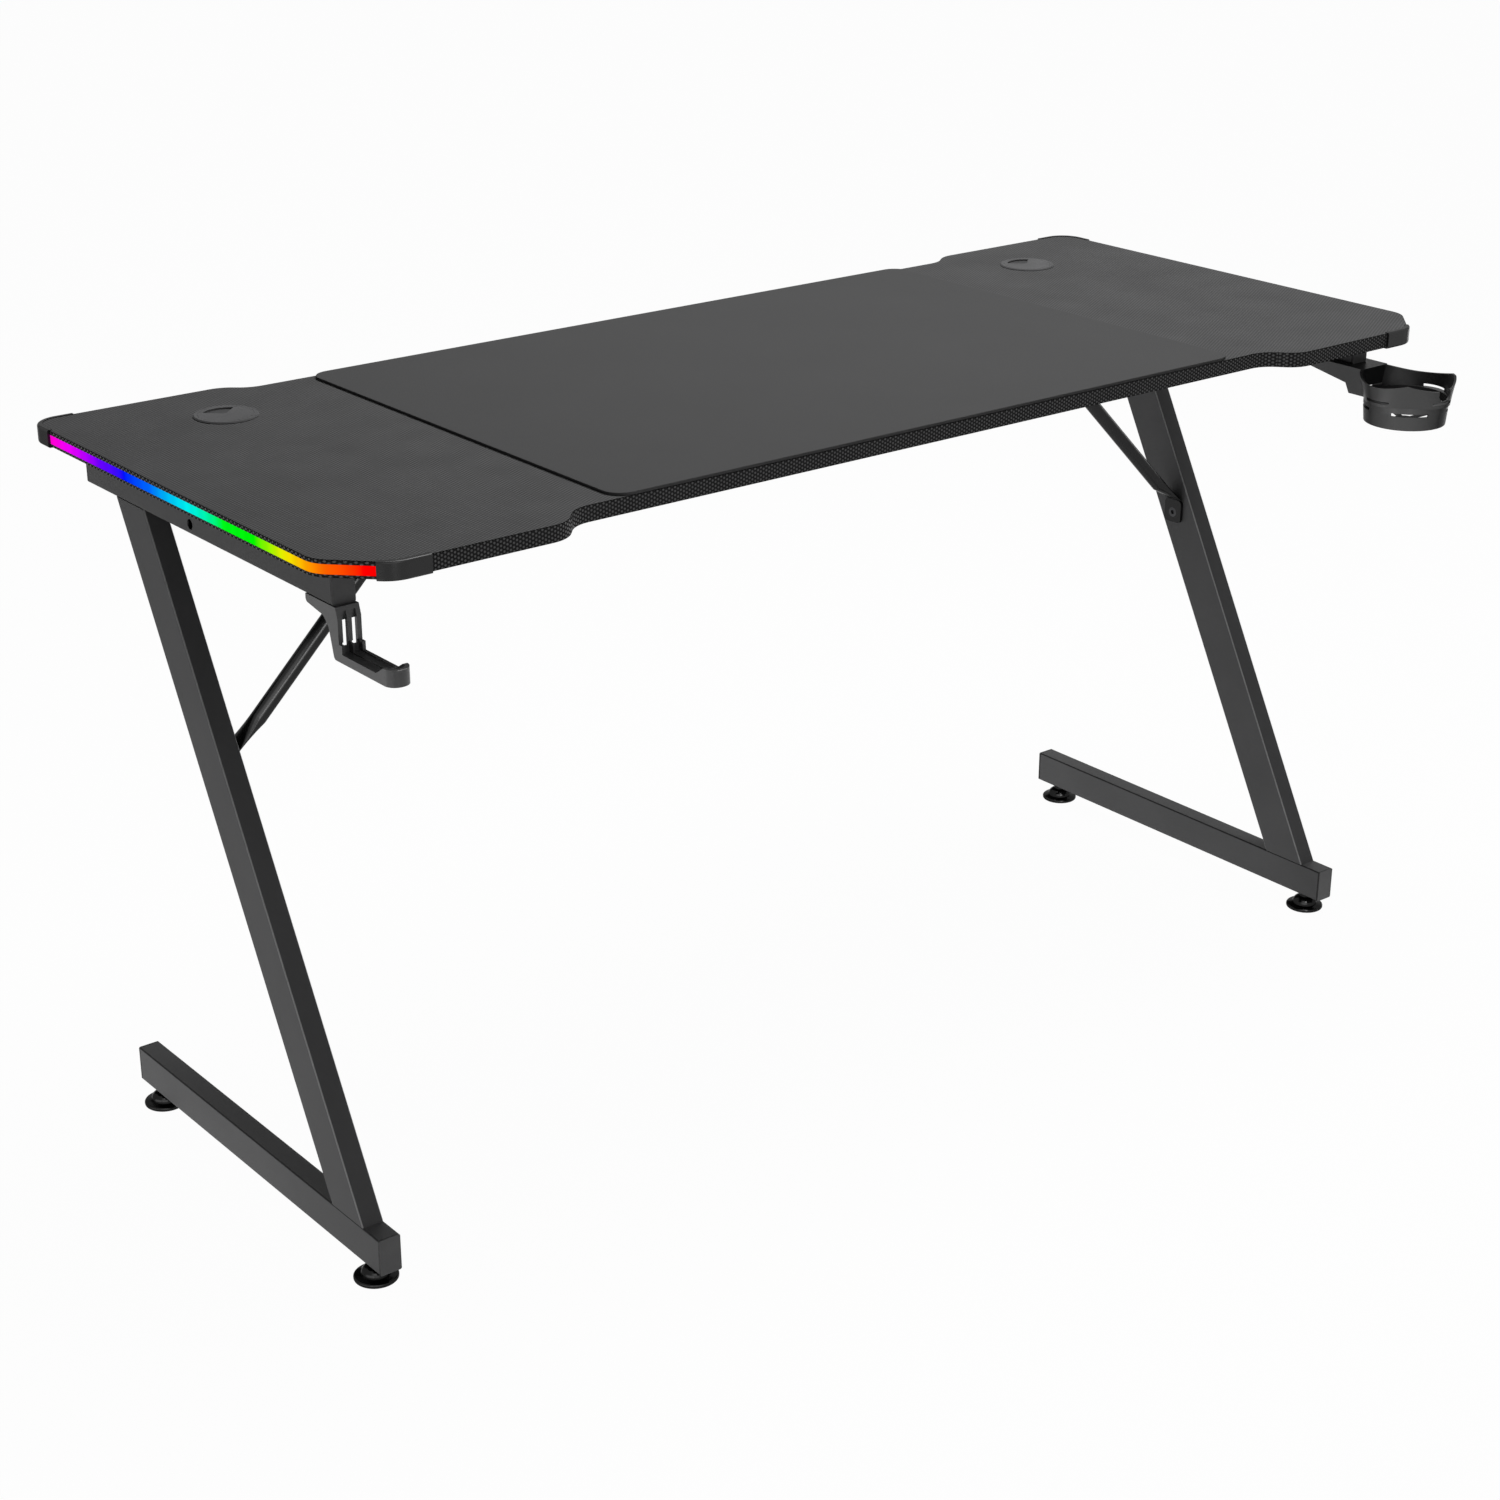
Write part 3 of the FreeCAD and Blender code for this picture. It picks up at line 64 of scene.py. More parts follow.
# Painted highlight: gloss falls along these slopes as a surface turns from the eye: start, end, share of
# the gloss
GUARD_TURN = ((0.0, 0.06, 1.0), (0.3, 0.62, 0.55))
FOOT_TURN = ((0.0, 0.06, 1.0), (0.0, 0.5, 0.3))
TUBE_TURN = ((0.0, 0.09, 1.0), (0.0, 0.55, 0.33))
CUP_TURN = ((0.02, 0.45, 1.0),)
GLOSS_LEFT = 0.04

# Upright axis of the cup holder, in plan
CUP_AXIS = (0.65145, -0.26765)

# Part of a noise texture's range that is stretched over what the noise drives
NOISE_LOW, NOISE_HIGH = 0.3, 0.7

# Hues of the lit strips, at places along the desk's depth
RAINBOW = (
    (-0.250, (1.0, 0.0, 0.0)), (-0.228, (1.0, 0.12, 0.0)), (-0.206, (1.0, 0.42, 0.0)),
    (-0.175, (0.90, 0.84, 0.0)), (-0.150, (0.36, 0.93, 0.0)), (-0.122, (0.0, 0.93, 0.0)),
    (-0.066, (0.0, 0.93, 0.01)), (0.0, (0.0, 0.86, 0.87)), (0.071, (0.0, 0.14, 0.97)),
    (0.122, (0.0, 0.005, 0.98)), (0.171, (0.14, 0.0, 0.98)), (0.207, (0.52, 0.0, 0.97)),
    (0.241, (0.91, 0.0, 0.96)), (0.275, (1.0, 0.0, 0.62)),
)

# Screws: sides and rings of the meshes, then shares of the head's or shank's own size
UPRIGHT_SCREWS = ("corner_guard_screws", "hook_screws", "cup_holder_screws",
                  "controller_mounting_screws", "controller_lid_screws", "desktop_screws")
SCREW_SIZES = ("Head radius", "Head height", "Shank radius", "Shank length")
HEAD_SIDES, HEAD_RINGS = 32, 5
SHANK_SIDES, SHANK_RINGS = 20, 48
CROWN_POWER, CROWN_DROP = 2.4, 0.55
RECESS_WIDTH, RECESS_DEPTH = 0.24, 1.2
THREAD_ROOT = 0.80
TIP_START, TIP_RADIUS = 0.8, 0.45
SHARP_ANGLE = math.radians(35)

# Studio: each lamp's name, place, aim and size, the patch of floor that gives light back, the camera
LAMPS = (
    ("overhead", (0.6, 0.1, 2.9), (0.1, 0.0, 0.7), (1.6, 1.6)),
    ("side", (-1.5, -0.15, 0.12), (0.0, -0.15, 0.12), (1.6, 0.2)),
    ("front", (-0.6, -2.3, 2.6), (0.0, 0.0, 0.5), (0.6, 0.6)),
    ("glint", (-0.9, -2.85, 1.33), (-0.5, 0.0, 0.55), (0.9, 0.5)),
    ("low", (-1.15, -2.5, 0.12), (0.0, 0.0, 0.6), (0.6, 0.2)),
    ("right", (2.9, 0.3, 0.45), (0.4, 0.0, 0.5), (0.6, 0.9)),
)
FLOOR_RADIUS, FLOOR_SIDES = 14.0, 96
PATCH_SHIFT = (-0.15, -0.65, 0.0)
PATCH_STRETCH = (1.0, 1.9, 1.0)
CAMERA_PLACE = (-1.78365, -2.17245, 1.4678)
CAMERA_LOOK = (0.5742, 0.7250, -0.3804)
SENSOR_WIDTH = 36.0


# Properties

def colour(name, description, default):
    return FloatVectorProperty(name=name, description=description, subtype="COLOR", size=3,
                               min=0.0, max=1.0, default=default)


def share(name, description, default):
    return FloatProperty(name=name, description=description, subtype="FACTOR", min=0.0, max=1.0,
                         default=default)


def length(name, description, default):
    return FloatProperty(name=name, description=description, subtype="DISTANCE", unit="LENGTH",
                         min=0.0, precision=5, default=default)


def power(name, description, default):
    return FloatProperty(name=name, description=description, unit="POWER", min=0.0, default=default)


def level(name, description, default):
    return FloatProperty(name=name, description=description, min=0.0, default=default)


class FilmLook(bpy.types.PropertyGroup):
    """Embossed film round the desk top"""

    flat_low: colour("Flat ground", "Colour between the dots on the flat faces", (0.078, 0.078, 0.0788))
    flat_high: colour("Flat dots", "Colour of the dots on the flat faces", (0.136, 0.136, 0.1374))
    edge_low: colour("Edge ground", "Colour between the dots on the edges", (0.03, 0.03, 0.0304))
    edge_high: colour("Edge dots", "Colour of the dots on the edges", (0.074, 0.074, 0.075))
    # Painted shade: a dark line along the film's rounded folds between the top and the edges
    painted_fold_shade: colour("Crease", "Colour along the film's folds", (0.008, 0.008, 0.008))
    dot_spacing: length("Dot spacing", "Distance between neighbouring dots", 0.0038)
    dot_height: length("Dot height", "How far the dots stand proud", 0.00012)
    roughness: share("Roughness", "Roughness of the film", 0.45)
    edge_gloss: share("Edge gloss", "Specular level of the dots on the edges", 0.45)


class LightLook(bpy.types.PropertyGroup):
    """Lit strips in the desk top's ends"""

    strength: level("Strength", "Brightness of the lit strips", 1.0)
    lamp_spacing: length("Lamp spacing", "Distance between the lamps behind the diffuser", 0.0167)
    lamp_ripple: share("Lamp ripple", "How much the lamps show through the diffuser", 0.06)


class MatLook(bpy.types.PropertyGroup):
    """Cloth mat"""

    cloth: colour("Cloth", "Colour of the cloth", (0.092, 0.092, 0.0928))
    backing: colour("Backing", "Colour of the rubber backing", (0.004, 0.004, 0.004))
    thread_spacing: length("Thread spacing", "Distance between the threads of the cloth", 0.0006)
    corner_radius: length("Corner radius", "Radius of the mat's corners", 0.02)
    cloth_layer: length("Cloth layer", "Thickness of the cloth above the backing", 0.0003)
    edge_round: length("Edge round", "Rounding along the cut edge", 0.0003)


class FrameLook(bpy.types.PropertyGroup):
    """Painted steel of the frame"""

    powder: colour("Powder coat", "Colour of rails, legs and crossbeam", (0.082, 0.082, 0.0834))
    powder_roughness: share("Powder roughness", "Roughness of the powder coat", 0.45)
    satin: colour("Brace paint", "Colour of the diagonal braces", (0.012, 0.012, 0.0122))
    satin_roughness: share("Brace roughness", "Roughness of the brace paint", 0.22)
    # Painted highlight: a light line along the legs' rounded edges
    leg_edge_highlight: colour("Leg edges", "Colour along the rounded edges of the legs", (0.3, 0.3, 0.304))
    # Painted shade: a dark line along the rails' rounded edges
    rail_edge_shade: colour("Rail edges", "Colour along the rounded edges of the rails", (0.012, 0.012, 0.012))
    lean: FloatProperty(name="Lean", description="How far the legs lean from upright", subtype="ANGLE",
                        unit="ROTATION", default=math.atan2(332.5, 621.5))
    peel_size: length("Peel size", "Size of the orange peel in the paint", 0.0011)
    peel_height: length("Peel height", "Height of the orange peel in the paint", 0.00004)


class PlasticLook(bpy.types.PropertyGroup):
    """Moulded pieces"""

    guard: colour("Corner guards", "Colour of the corner guards", (0.008, 0.008, 0.0082))
    grommet: colour("Grommets", "Colour of the cable grommets", (0.106, 0.106, 0.108))
    # Painted shade: the shutters, sunk below the caps, get a darker colour than the caps
    shutter: colour("Shutters", "Colour of the shutters in the grommets", (0.072, 0.072, 0.0732))
    hook: colour("Hook", "Colour of the headphone hook", (0.072, 0.072, 0.0732))
    cup: colour("Cup holder", "Colour of the cup holder", (0.046, 0.046, 0.0466))
    # Painted shade: darker colour of the cup holder's inner faces
    cup_inside_shade: colour("Cup inside", "Colour of the inner faces of the cup holder", (0.02, 0.02, 0.0204))
    cap: colour("End caps", "Colour of the tube end caps", (0.114, 0.114, 0.1152))
    cap_rim: colour("Cap rims", "Colour round the rims of the end caps", (0.012, 0.012, 0.012))
    foot: colour("Feet", "Colour of the levelling feet", (0.0024, 0.0024, 0.0024))
    controller: colour("Controller", "Colour of the light controller", (0.044, 0.044, 0.046))
    lead: colour("Leads", "Colour of the leads", (0.032, 0.032, 0.033))
    grain: length("Grain", "Size of the moulded grain", 0.0005)


class ScrewLook(bpy.types.PropertyGroup):
    """Fasteners"""

    steel: colour("Steel", "Colour of the plated steel", (0.05, 0.05, 0.052))
    roughness: share("Roughness", "Roughness of the plated steel", 0.42)
    thread_pitch: length("Thread pitch", "Pitch of the screw threads", 0.0011)
    recess_share: share("Recess", "Length of the cross recess as a share of the head", 0.62)
    seed: IntProperty(name="Seed", description="Seed for the turn of each screw", default=7)


class StageLook(bpy.types.PropertyGroup):
    """Studio"""

    floor: colour("Floor", "Colour of the floor", (0.80, 0.80, 0.80))
    floor_white: share("Floor white", "Share of the floor that the camera sees as plain white", 0.975)
    sky: level("Sky", "Strength of the soft light all round", 0.025)
    overhead: power("Overhead", "Power of the overhead lamp", 56.0)
    side: power("Side", "Power of the low lamp at the left", 2.8)
    front: power("Front", "Power of the high lamp in front", 5.5)
    glint: power("Glint", "Power of the lamp in front of the braces", 4.5)
    low: power("Low", "Power of the low lamp in front", 1.0)
    right: power("Right", "Power of the low lamp at the right", 5.0)
    table_light: level("Table light", "Soft light that the floor gives back round the desk", 1.1)
    table_reach: length("Table reach", "How far from the middle the floor's light fades out", 1.6)
    lens: FloatProperty(name="Lens", description="Focal length on a 36 mm sensor",
                        subtype="DISTANCE_CAMERA", min=10.0, default=66.984)


LOOKS = {
    "desk_film": FilmLook,
    "desk_light": LightLook,
    "desk_mat": MatLook,
    "desk_frame": FrameLook,
    "desk_plastic": PlasticLook,
    "desk_screw": ScrewLook,
    "desk_stage": StageLook,
}


# Node trees

class Wiring:
    """A node tree under construction."""

    def __init__(self, tree):
        self.tree = tree

    def add(self, kind, **settings):
        node = self.tree.nodes.new(kind)
        for key, value in settings.items():
            setattr(node, key, value)
        return node

    def put(self, socket, value):
        """Joins a socket to another one, or gives it a value."""
        if isinstance(value, bpy.types.NodeSocket):
            self.tree.links.new(value, socket)
        else:
            socket.default_value = value

    def fill(self, node, **values):
        """Fills a node's inputs by name, with underscores for spaces."""
        for name, value in values.items():
            self.put(node.inputs[name.replace("_", " ")], value)

    def maths(self, operation, *values):
        node = self.add("ShaderNodeMath", operation=operation)
        for socket, value in zip(node.inputs, values):
            self.put(socket, value)
        return node.outputs[0]

    def chain(self, operation, *values):
        """Takes any number of values through an operation on two."""
        result = values[0]
        for value in values[1:]:
            result = self.maths(operation, result, value)
        return result

    def total(self, *values):
        return self.chain("ADD", *values)

    def times(self, *values):
        return self.chain("MULTIPLY", *values)

    def highest(self, *values):
        return self.chain("MAXIMUM", *values)

    def parts(self, vector):
        node = self.add("ShaderNodeSeparateXYZ")
        self.put(node.inputs[0], vector)
        return node.outputs[0], node.outputs[1], node.outputs[2]

    def vector(self, x, y, z):
        node = self.add("ShaderNodeCombineXYZ")
        for socket, value in zip(node.inputs, (x, y, z)):
            self.put(socket, value)
        return node.outputs[0]

    def remap(self, value, low, high, to_low, to_high, smooth=False):
        node = self.add("ShaderNodeMapRange", interpolation_type="SMOOTHSTEP" if smooth else "LINEAR")
        for socket, entry in zip(node.inputs, (value, low, high, to_low, to_high)):
            self.put(socket, entry)
        return node.outputs[0]

    def choose(self, kind, factor, low, high):
        """Mixes two values of a kind."""
        node = self.add("ShaderNodeMix", data_type=kind)
        sockets = {socket.name: socket for socket in node.inputs if socket.enabled}
        for name, value in (("Factor", factor), ("A", low), ("B", high)):
            self.put(sockets[name], value)
        return next(socket for socket in node.outputs if socket.enabled)

    def seen_directly(self):
        """One for rays that show the studio itself, or its reflection, and nought for the others."""
        seen = self.add("ShaderNodeLightPath").outputs
        return self.highest(seen["Is Camera Ray"], seen["Is Glossy Ray"], seen["Is Transmission Ray"])


class Finish(Wiring):
    """A material under construction."""

    def __init__(self, name):
        self.material = bpy.data.materials.new(name)
        self.material.use_nodes = True
        super().__init__(self.material.node_tree)
        self.shader = self.tree.nodes["Principled BSDF"]
        coordinates = self.add("ShaderNodeTexCoord").outputs
        self.place = coordinates["Object"]
        self.normal = coordinates["Normal"]
        self.flat_place = coordinates["UV"]

    def noise(self, size, detail=2.0, place=None):
        node = self.add("ShaderNodeTexNoise")
        self.put(node.inputs["Vector"], place or self.place)
        self.put(node.inputs["Scale"], 1.0 / size)
        self.put(node.inputs["Detail"], detail)
        return node.outputs[0]

    def stretch(self, noise, low, high):
        """Spreads the middle of a noise over a range."""
        return self.remap(noise, NOISE_LOW, NOISE_HIGH, low, high)

    def mix(self, factor, low, high):
        """Mixes two colours, each a socket or three numbers."""
        return self.choose("RGBA", factor, *[
            tone if isinstance(tone, bpy.types.NodeSocket) else (*tone, 1.0) for tone in (low, high)])

    def bump(self, height, distance, strength=1.0):
        node = self.add("ShaderNodeBump")
        self.fill(node, Strength=strength, Distance=distance, Height=height)
        self.put(self.shader.inputs["Normal"], node.outputs[0])

    def painted_highlight_gloss(self, gloss, turn):
        """Painted highlight: specular level on the highest of some slopes that fall as the surface turns
        from the eye.
        """
        turned = self.add("ShaderNodeLayerWeight").outputs["Facing"]
        return self.highest(*[self.remap(turned, start, end, gloss * part, gloss * GLOSS_LEFT)
                              for start, end, part in turn])

    def surface(self, **values):
        self.fill(self.shader, **values)
        return self.material


def shaded(tone, by):
    """A colour made lighter or darker."""
    return tuple(min(1.0, part * by) for part in tone)


# Finishes

def embossed_film(look):
    """Dark film with a honeycomb of raised dots, laid flat on the faces and wrapped round the edges."""
    make = Finish("embossed_film")
    x, y, z = make.parts(make.place)
    turned = [make.maths("ABSOLUTE", part) for part in make.parts(make.normal)]
    flat = make.maths("GREATER_THAN", turned[2], 0.7)
    lengthwise = make.highest(flat, make.maths("GREATER_THAN", turned[1], turned[0]))
    wave = 2.0 * math.pi * 2.0 / (math.sqrt(3.0) * look.dot_spacing)
    u = make.times(make.choose("FLOAT", lengthwise, y, x), wave)
    v = make.times(make.choose("FLOAT", flat, z, y), wave * math.sqrt(0.75))
    half = make.times(u, 0.5)
    waves = make.total(make.maths("COSINE", u), make.maths("COSINE", make.total(half, v)),
                       make.maths("COSINE", make.maths("SUBTRACT", half, v)))
    dots = make.remap(waves, -1.4, 2.2, 0.0, 1.0, smooth=True)
    wear = make.stretch(make.noise(0.06, 4.0), 0.94, 1.06)
    top = make.mix(dots, look.flat_low, look.flat_high)
    edge = make.mix(dots, look.edge_low, look.edge_high)
    # Painted shade: mask of the rounded folds between the top and the edges, which get the dark fold
    # colour
    fold_shade = make.times(make.remap(turned[2], 0.05, 0.3, 0.0, 1.0),
                      make.remap(turned[2], 0.9, 0.99, 1.0, 0.0))
    tone = make.add("ShaderNodeHueSaturation")
    make.fill(tone, Color=make.mix(fold_shade, make.mix(flat, edge, top), look.painted_fold_shade), Value=wear)
    edge_dots = make.times(dots, make.maths("SUBTRACT", 1.0, flat))
    gloss = make.remap(edge_dots, 0.3, 1.0, 0.0, look.edge_gloss)
    rough = make.stretch(make.noise(0.003, 3.0), look.roughness - 0.05, look.roughness + 0.05)
    make.bump(dots, look.dot_height, 0.6)
    return make.surface(Base_Color=tone.outputs[0], Roughness=rough, Specular_IOR_Level=gloss)


def moulded(name, tone, roughness, grain, depth, gloss, turn=None, rim=None, painted_well_shade=None):
    """Moulded plastic with a fine grain, cloudy gloss and slightly uneven colour.

    A turn keeps its gloss to where it faces the eye, a painted highlight, and a rim colours its faces
    that run along Y.
    A painted well shade is an upright axis and the colour of painted shade on the faces that look towards
    it, which also lose gloss.
    """
    make = Finish(name)
    cloud = make.noise(0.035, 3.0)
    fine = make.noise(grain, 2.0)
    base = make.mix(make.stretch(cloud, 0.0, 1.0), shaded(tone, 0.9), shaded(tone, 1.12))
    rough = make.stretch(make.noise(grain * 6.0, 3.0), roughness - 0.05, roughness + 0.05)
    if rim:
        ahead = make.maths("ABSOLUTE", make.parts(make.normal)[1])
        base = make.mix(make.remap(ahead, 0.6, 0.9, 1.0, 0.0), base, rim)
    # Painted highlight: a turn keeps the gloss to the faces that look at the eye
    shine = make.painted_highlight_gloss(gloss, turn) if turn else gloss
    # Painted shade inside the cup: faces that look towards the axis get the darker colour and less gloss
    if painted_well_shade:
        axis, inner = painted_well_shade
        away = make.total(*[make.times(make.maths("SUBTRACT", part, middle), facing)
                            for part, middle, facing in
                            zip(make.parts(make.place), axis, make.parts(make.normal))])
        inside = make.remap(away, -0.02, -0.005, 1.0, 0.0)
        base = make.mix(inside, base, inner)
        shine = make.times(shine, make.remap(inside, 0.0, 1.0, 1.0, 0.3))
    make.bump(fine, depth)
    return make.surface(Base_Color=base, Roughness=rough, Specular_IOR_Level=shine)


def painted(name, tone, roughness, look, gloss, painted_edge_light=None, lean=0.0, turn=None, peel_share=1.0):
    """Paint on steel with orange peel, a little flow in its gloss and painted light on rounded edges: a
    lighter edge colour paints a highlight, a darker one paints shade.
    """
    make = Finish(name)
    peel = make.noise(look.peel_size, 2.0)
    flow = make.stretch(make.noise(0.09, 3.0), 0.0, 1.0)
    base = make.mix(flow, shaded(tone, 0.93), shaded(tone, 1.08))
    speck = make.remap(make.noise(look.peel_size * 0.45, 1.0), 0.62, 0.75, 0.0, 0.35)
    base = make.mix(speck, base, shaded(tone, 1.5))
    # Painted light on rounded edges: the edge colour goes where no face is square to the tube, lighter
    # for a painted highlight, darker for painted shade
    if painted_edge_light:
        x, y, z = make.parts(make.normal)
        ahead = make.maths("SUBTRACT", make.times(y, math.cos(lean)), make.times(z, math.sin(lean)))
        upward = make.total(make.times(y, math.sin(lean)), make.times(z, math.cos(lean)))
        square = make.highest(*[make.maths("ABSOLUTE", part) for part in (x, ahead, upward)])
        base = make.mix(make.remap(square, 0.9, 0.985, 1.0, 0.0), base, painted_edge_light)
    rough = make.stretch(peel, roughness - 0.05, roughness + 0.06)
    make.bump(peel, look.peel_height * peel_share)
    # Painted highlight: a turn keeps the gloss to the faces that look at the eye
    return make.surface(Base_Color=base, Roughness=rough,
                        Specular_IOR_Level=make.painted_highlight_gloss(gloss, turn) if turn else gloss)


def lit_diffuser(look, span):
    """Milky strip that glows in a rainbow along the desk's depth."""
    make = Finish("lit_diffuser")
    y = make.parts(make.place)[1]
    ramp = make.add("ShaderNodeValToRGB")
    stops = ramp.color_ramp.elements
    while len(stops) < len(RAINBOW):
        stops.new(0.5)
    for stop, (at, tone) in zip(stops, RAINBOW):
        stop.position = (at - span[0]) / (span[1] - span[0])
        stop.color = (*tone, 1.0)
    make.put(ramp.inputs[0], make.remap(y, span[0], span[1], 0.0, 1.0))
    ripple = make.maths("COSINE", make.times(y, 2.0 * math.pi / look.lamp_spacing))
    glow = make.remap(ripple, -1.0, 1.0, look.strength * (1.0 - look.lamp_ripple), look.strength)
    dim = make.mix(0.03, (0.0, 0.0, 0.0), ramp.outputs[0])
    return make.surface(Base_Color=dim, Emission_Color=ramp.outputs[0], Emission_Strength=glow,
                        Roughness=0.5, Specular_IOR_Level=0.0)


def woven_cloth(look):
    """Fine plain weave with a soft nap."""
    make = Finish("woven_cloth")
    turn = math.pi / look.thread_spacing
    warp, weft = [make.maths("ABSOLUTE", make.maths("SINE", make.times(part, turn)))
                  for part in make.parts(make.flat_place)[:2]]
    weave = make.times(warp, weft)
    nap = make.noise(0.0012, 4.0, make.flat_place)
    cloud = make.noise(0.12, 3.0, make.flat_place)
    tone = make.mix(make.remap(make.total(make.times(weave, 0.4), nap), 0.3, 1.1, 0.0, 1.0),
                    shaded(look.cloth, 0.86), shaded(look.cloth, 1.14))
    tone = make.mix(make.stretch(cloud, 0.0, 0.25), tone, shaded(look.cloth, 1.1))
    make.bump(make.total(weave, make.times(nap, 0.6)), 0.00008, 0.5)
    return make.surface(Base_Color=tone, Roughness=0.8, Specular_IOR_Level=0.0, Sheen_Weight=0.02,
                        Sheen_Roughness=0.5)


def plated_steel(look):
    """Dark plated steel with fine turning marks."""
    make = Finish("plated_steel")
    x, y, z = make.parts(make.place)
    marks = make.noise(0.0004, 3.0, make.vector(x, y, make.times(z, 12.0)))
    tone = make.mix(make.stretch(make.noise(0.01, 3.0), 0.0, 1.0), shaded(look.steel, 0.85),
                    shaded(look.steel, 1.15))
    rough = make.stretch(marks, look.roughness - 0.08, look.roughness + 0.08)
    make.bump(marks, 0.00002)
    return make.surface(Base_Color=tone, Roughness=rough, Metallic=1.0)


def circuit_resin():
    """Green resist with copper runs under it."""
    make = Finish("circuit_resin")
    run_pitch, wander = 0.0025, 0.004
    x = make.total(make.parts(make.place)[0], make.times(make.noise(0.008, 0.0), wander))
    runs = make.maths("SINE", make.times(x, 2.0 * math.pi / run_pitch))
    tone = make.mix(make.remap(runs, 0.2, 0.4, 0.0, 1.0), (0.008, 0.07, 0.03), (0.02, 0.13, 0.055))
    make.bump(runs, 0.00003, 0.5)
    return make.surface(Base_Color=tone, Roughness=0.3, Specular_IOR_Level=0.5)


def bright_shell():
    """Bare drawn steel of a socket."""
    make = Finish("bright_shell")
    x, y, z = make.parts(make.place)
    streaks = make.noise(0.0006, 2.0, make.vector(x, make.times(y, 0.1), z))
    tone = make.mix(streaks, (0.5, 0.5, 0.51), (0.66, 0.66, 0.67))
    return make.surface(Base_Color=tone, Metallic=1.0,
                        Roughness=make.stretch(streaks, 0.24, 0.36))


def printed_tape(look):
    """White flexible tape with a row of pads."""
    make = Finish("printed_tape")
    y = make.parts(make.place)[1]
    row = make.maths("COSINE", make.times(y, 2.0 * math.pi / look.lamp_spacing))
    pads = make.remap(row, 0.7, 0.8, 0.0, 1.0)
    tone = make.mix(pads, (0.72, 0.72, 0.70), (0.55, 0.42, 0.22))
    return make.surface(Base_Color=tone, Roughness=0.45)


def studio_paper(look):
    """Pale floor that the camera sees as nearly white and that keeps its shadows."""
    make = Finish("studio_paper")
    make.tree.nodes.remove(make.shader)
    hue = make.add("ShaderNodeHueSaturation")
    make.fill(hue, Color=(*look.floor, 1.0), Value=make.stretch(make.noise(0.9, 2.0), 0.985, 1.0))
    paper = make.add("ShaderNodeBsdfDiffuse")
    make.fill(paper, Color=hue.outputs[0])
    white = make.add("ShaderNodeEmission")
    direct = make.seen_directly()
    centred = make.add("ShaderNodeMapping")
    make.fill(centred, Vector=make.place, Location=PATCH_SHIFT, Scale=PATCH_STRETCH)
    away = make.add("ShaderNodeVectorMath", operation="LENGTH")
    make.put(away.inputs[0], centred.outputs[0])
    fade = make.remap(away.outputs["Value"], look.table_reach * 0.5, look.table_reach,
                      look.table_light, 0.0, smooth=True)
    glow = make.add("ShaderNodeEmission")
    make.fill(glow, Strength=make.times(fade, make.maths("SUBTRACT", 1.0, direct)))
    lit = make.add("ShaderNodeAddShader")
    make.put(lit.inputs[0], paper.outputs[0])
    make.put(lit.inputs[1], glow.outputs[0])
    blend = make.add("ShaderNodeMixShader")
    make.put(blend.inputs[0], make.times(direct, look.floor_white))
    make.put(blend.inputs[1], lit.outputs[0])
    make.put(blend.inputs[2], white.outputs[0])
    make.put(make.tree.nodes["Material Output"].inputs["Surface"], blend.outputs[0])
    return make.material


# Pieces

def dress(material, *names):
    """Gives CAD nodes a material."""
    for name in names:
        node = NODES[name]
        node.data.materials.clear()
        node.data.materials.append(material)


def new_piece(name, mesh, *materials):
    mesh.name = name
    mesh.materials.clear()
    for material in materials:
        mesh.materials.append(material)
    piece = bpy.data.objects.new(name, mesh)
    bpy.context.scene.collection.objects.link(piece)
    return piece


def stand_for(piece, body, slot, *nodes):
    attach(piece, body)
    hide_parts(*nodes)


def rounded_outline(low, high, radius, inset, steps=12):
    """Points round a rectangle with rounded corners, anticlockwise, moved in by an inset."""
    points = []
    turn = radius - inset
    left, right = low.x + radius, high.x - radius
    near, far = low.y + radius, high.y - radius
    for quarter, (cx, cy) in enumerate(((right, far), (left, far), (left, near), (right, near))):
        for step in range(steps + 1):
            angle = math.pi / 2 * (quarter + step / steps)
            points.append((cx + turn * math.cos(angle), cy + turn * math.sin(angle)))
    return points


def mat_mesh(look, low, high):
    """Sheet with a rubber back and a cloth face whose cut edge is slightly rounded."""
    r = look.edge_round
    seam = high.z - look.cloth_layer
    # Inset and height of each ring, from the underside over the cut edge to the flat of the cloth
    profile = [(r, low.z), (0.0, low.z + r), (0.0, seam), (0.25 * r, high.z - 0.3 * r), (r, high.z),
               (8.0 * r, high.z), (40.0 * r, high.z)]
    cloth, rubber, seam_ring = 0, 1, 2
    shell = bmesh.new()
    rings = []
    for inset, z in profile:
        rings.append([shell.verts.new((x, y, z)) for x, y in
                      rounded_outline(low, high, look.corner_radius, inset)])
    for index, (under, over) in enumerate(zip(rings, rings[1:])):
        for k in range(len(under)):
            n = (k + 1) % len(under)
            face = shell.faces.new((under[k], under[n], over[n], over[k]))
            face.material_index = cloth if index >= seam_ring else rubber
            face.smooth = True
    shell.faces.new(rings[-1]).material_index = cloth
    shell.faces.new(list(reversed(rings[0]))).material_index = rubber
    layer = shell.loops.layers.uv.new("cloth")
    for face in shell.faces:
        for loop in face.loops:
            loop[layer].uv = loop.vert.co.xy
    mesh = bpy.data.meshes.new("mat")
    shell.to_mesh(mesh)
    shell.free()
    return mesh


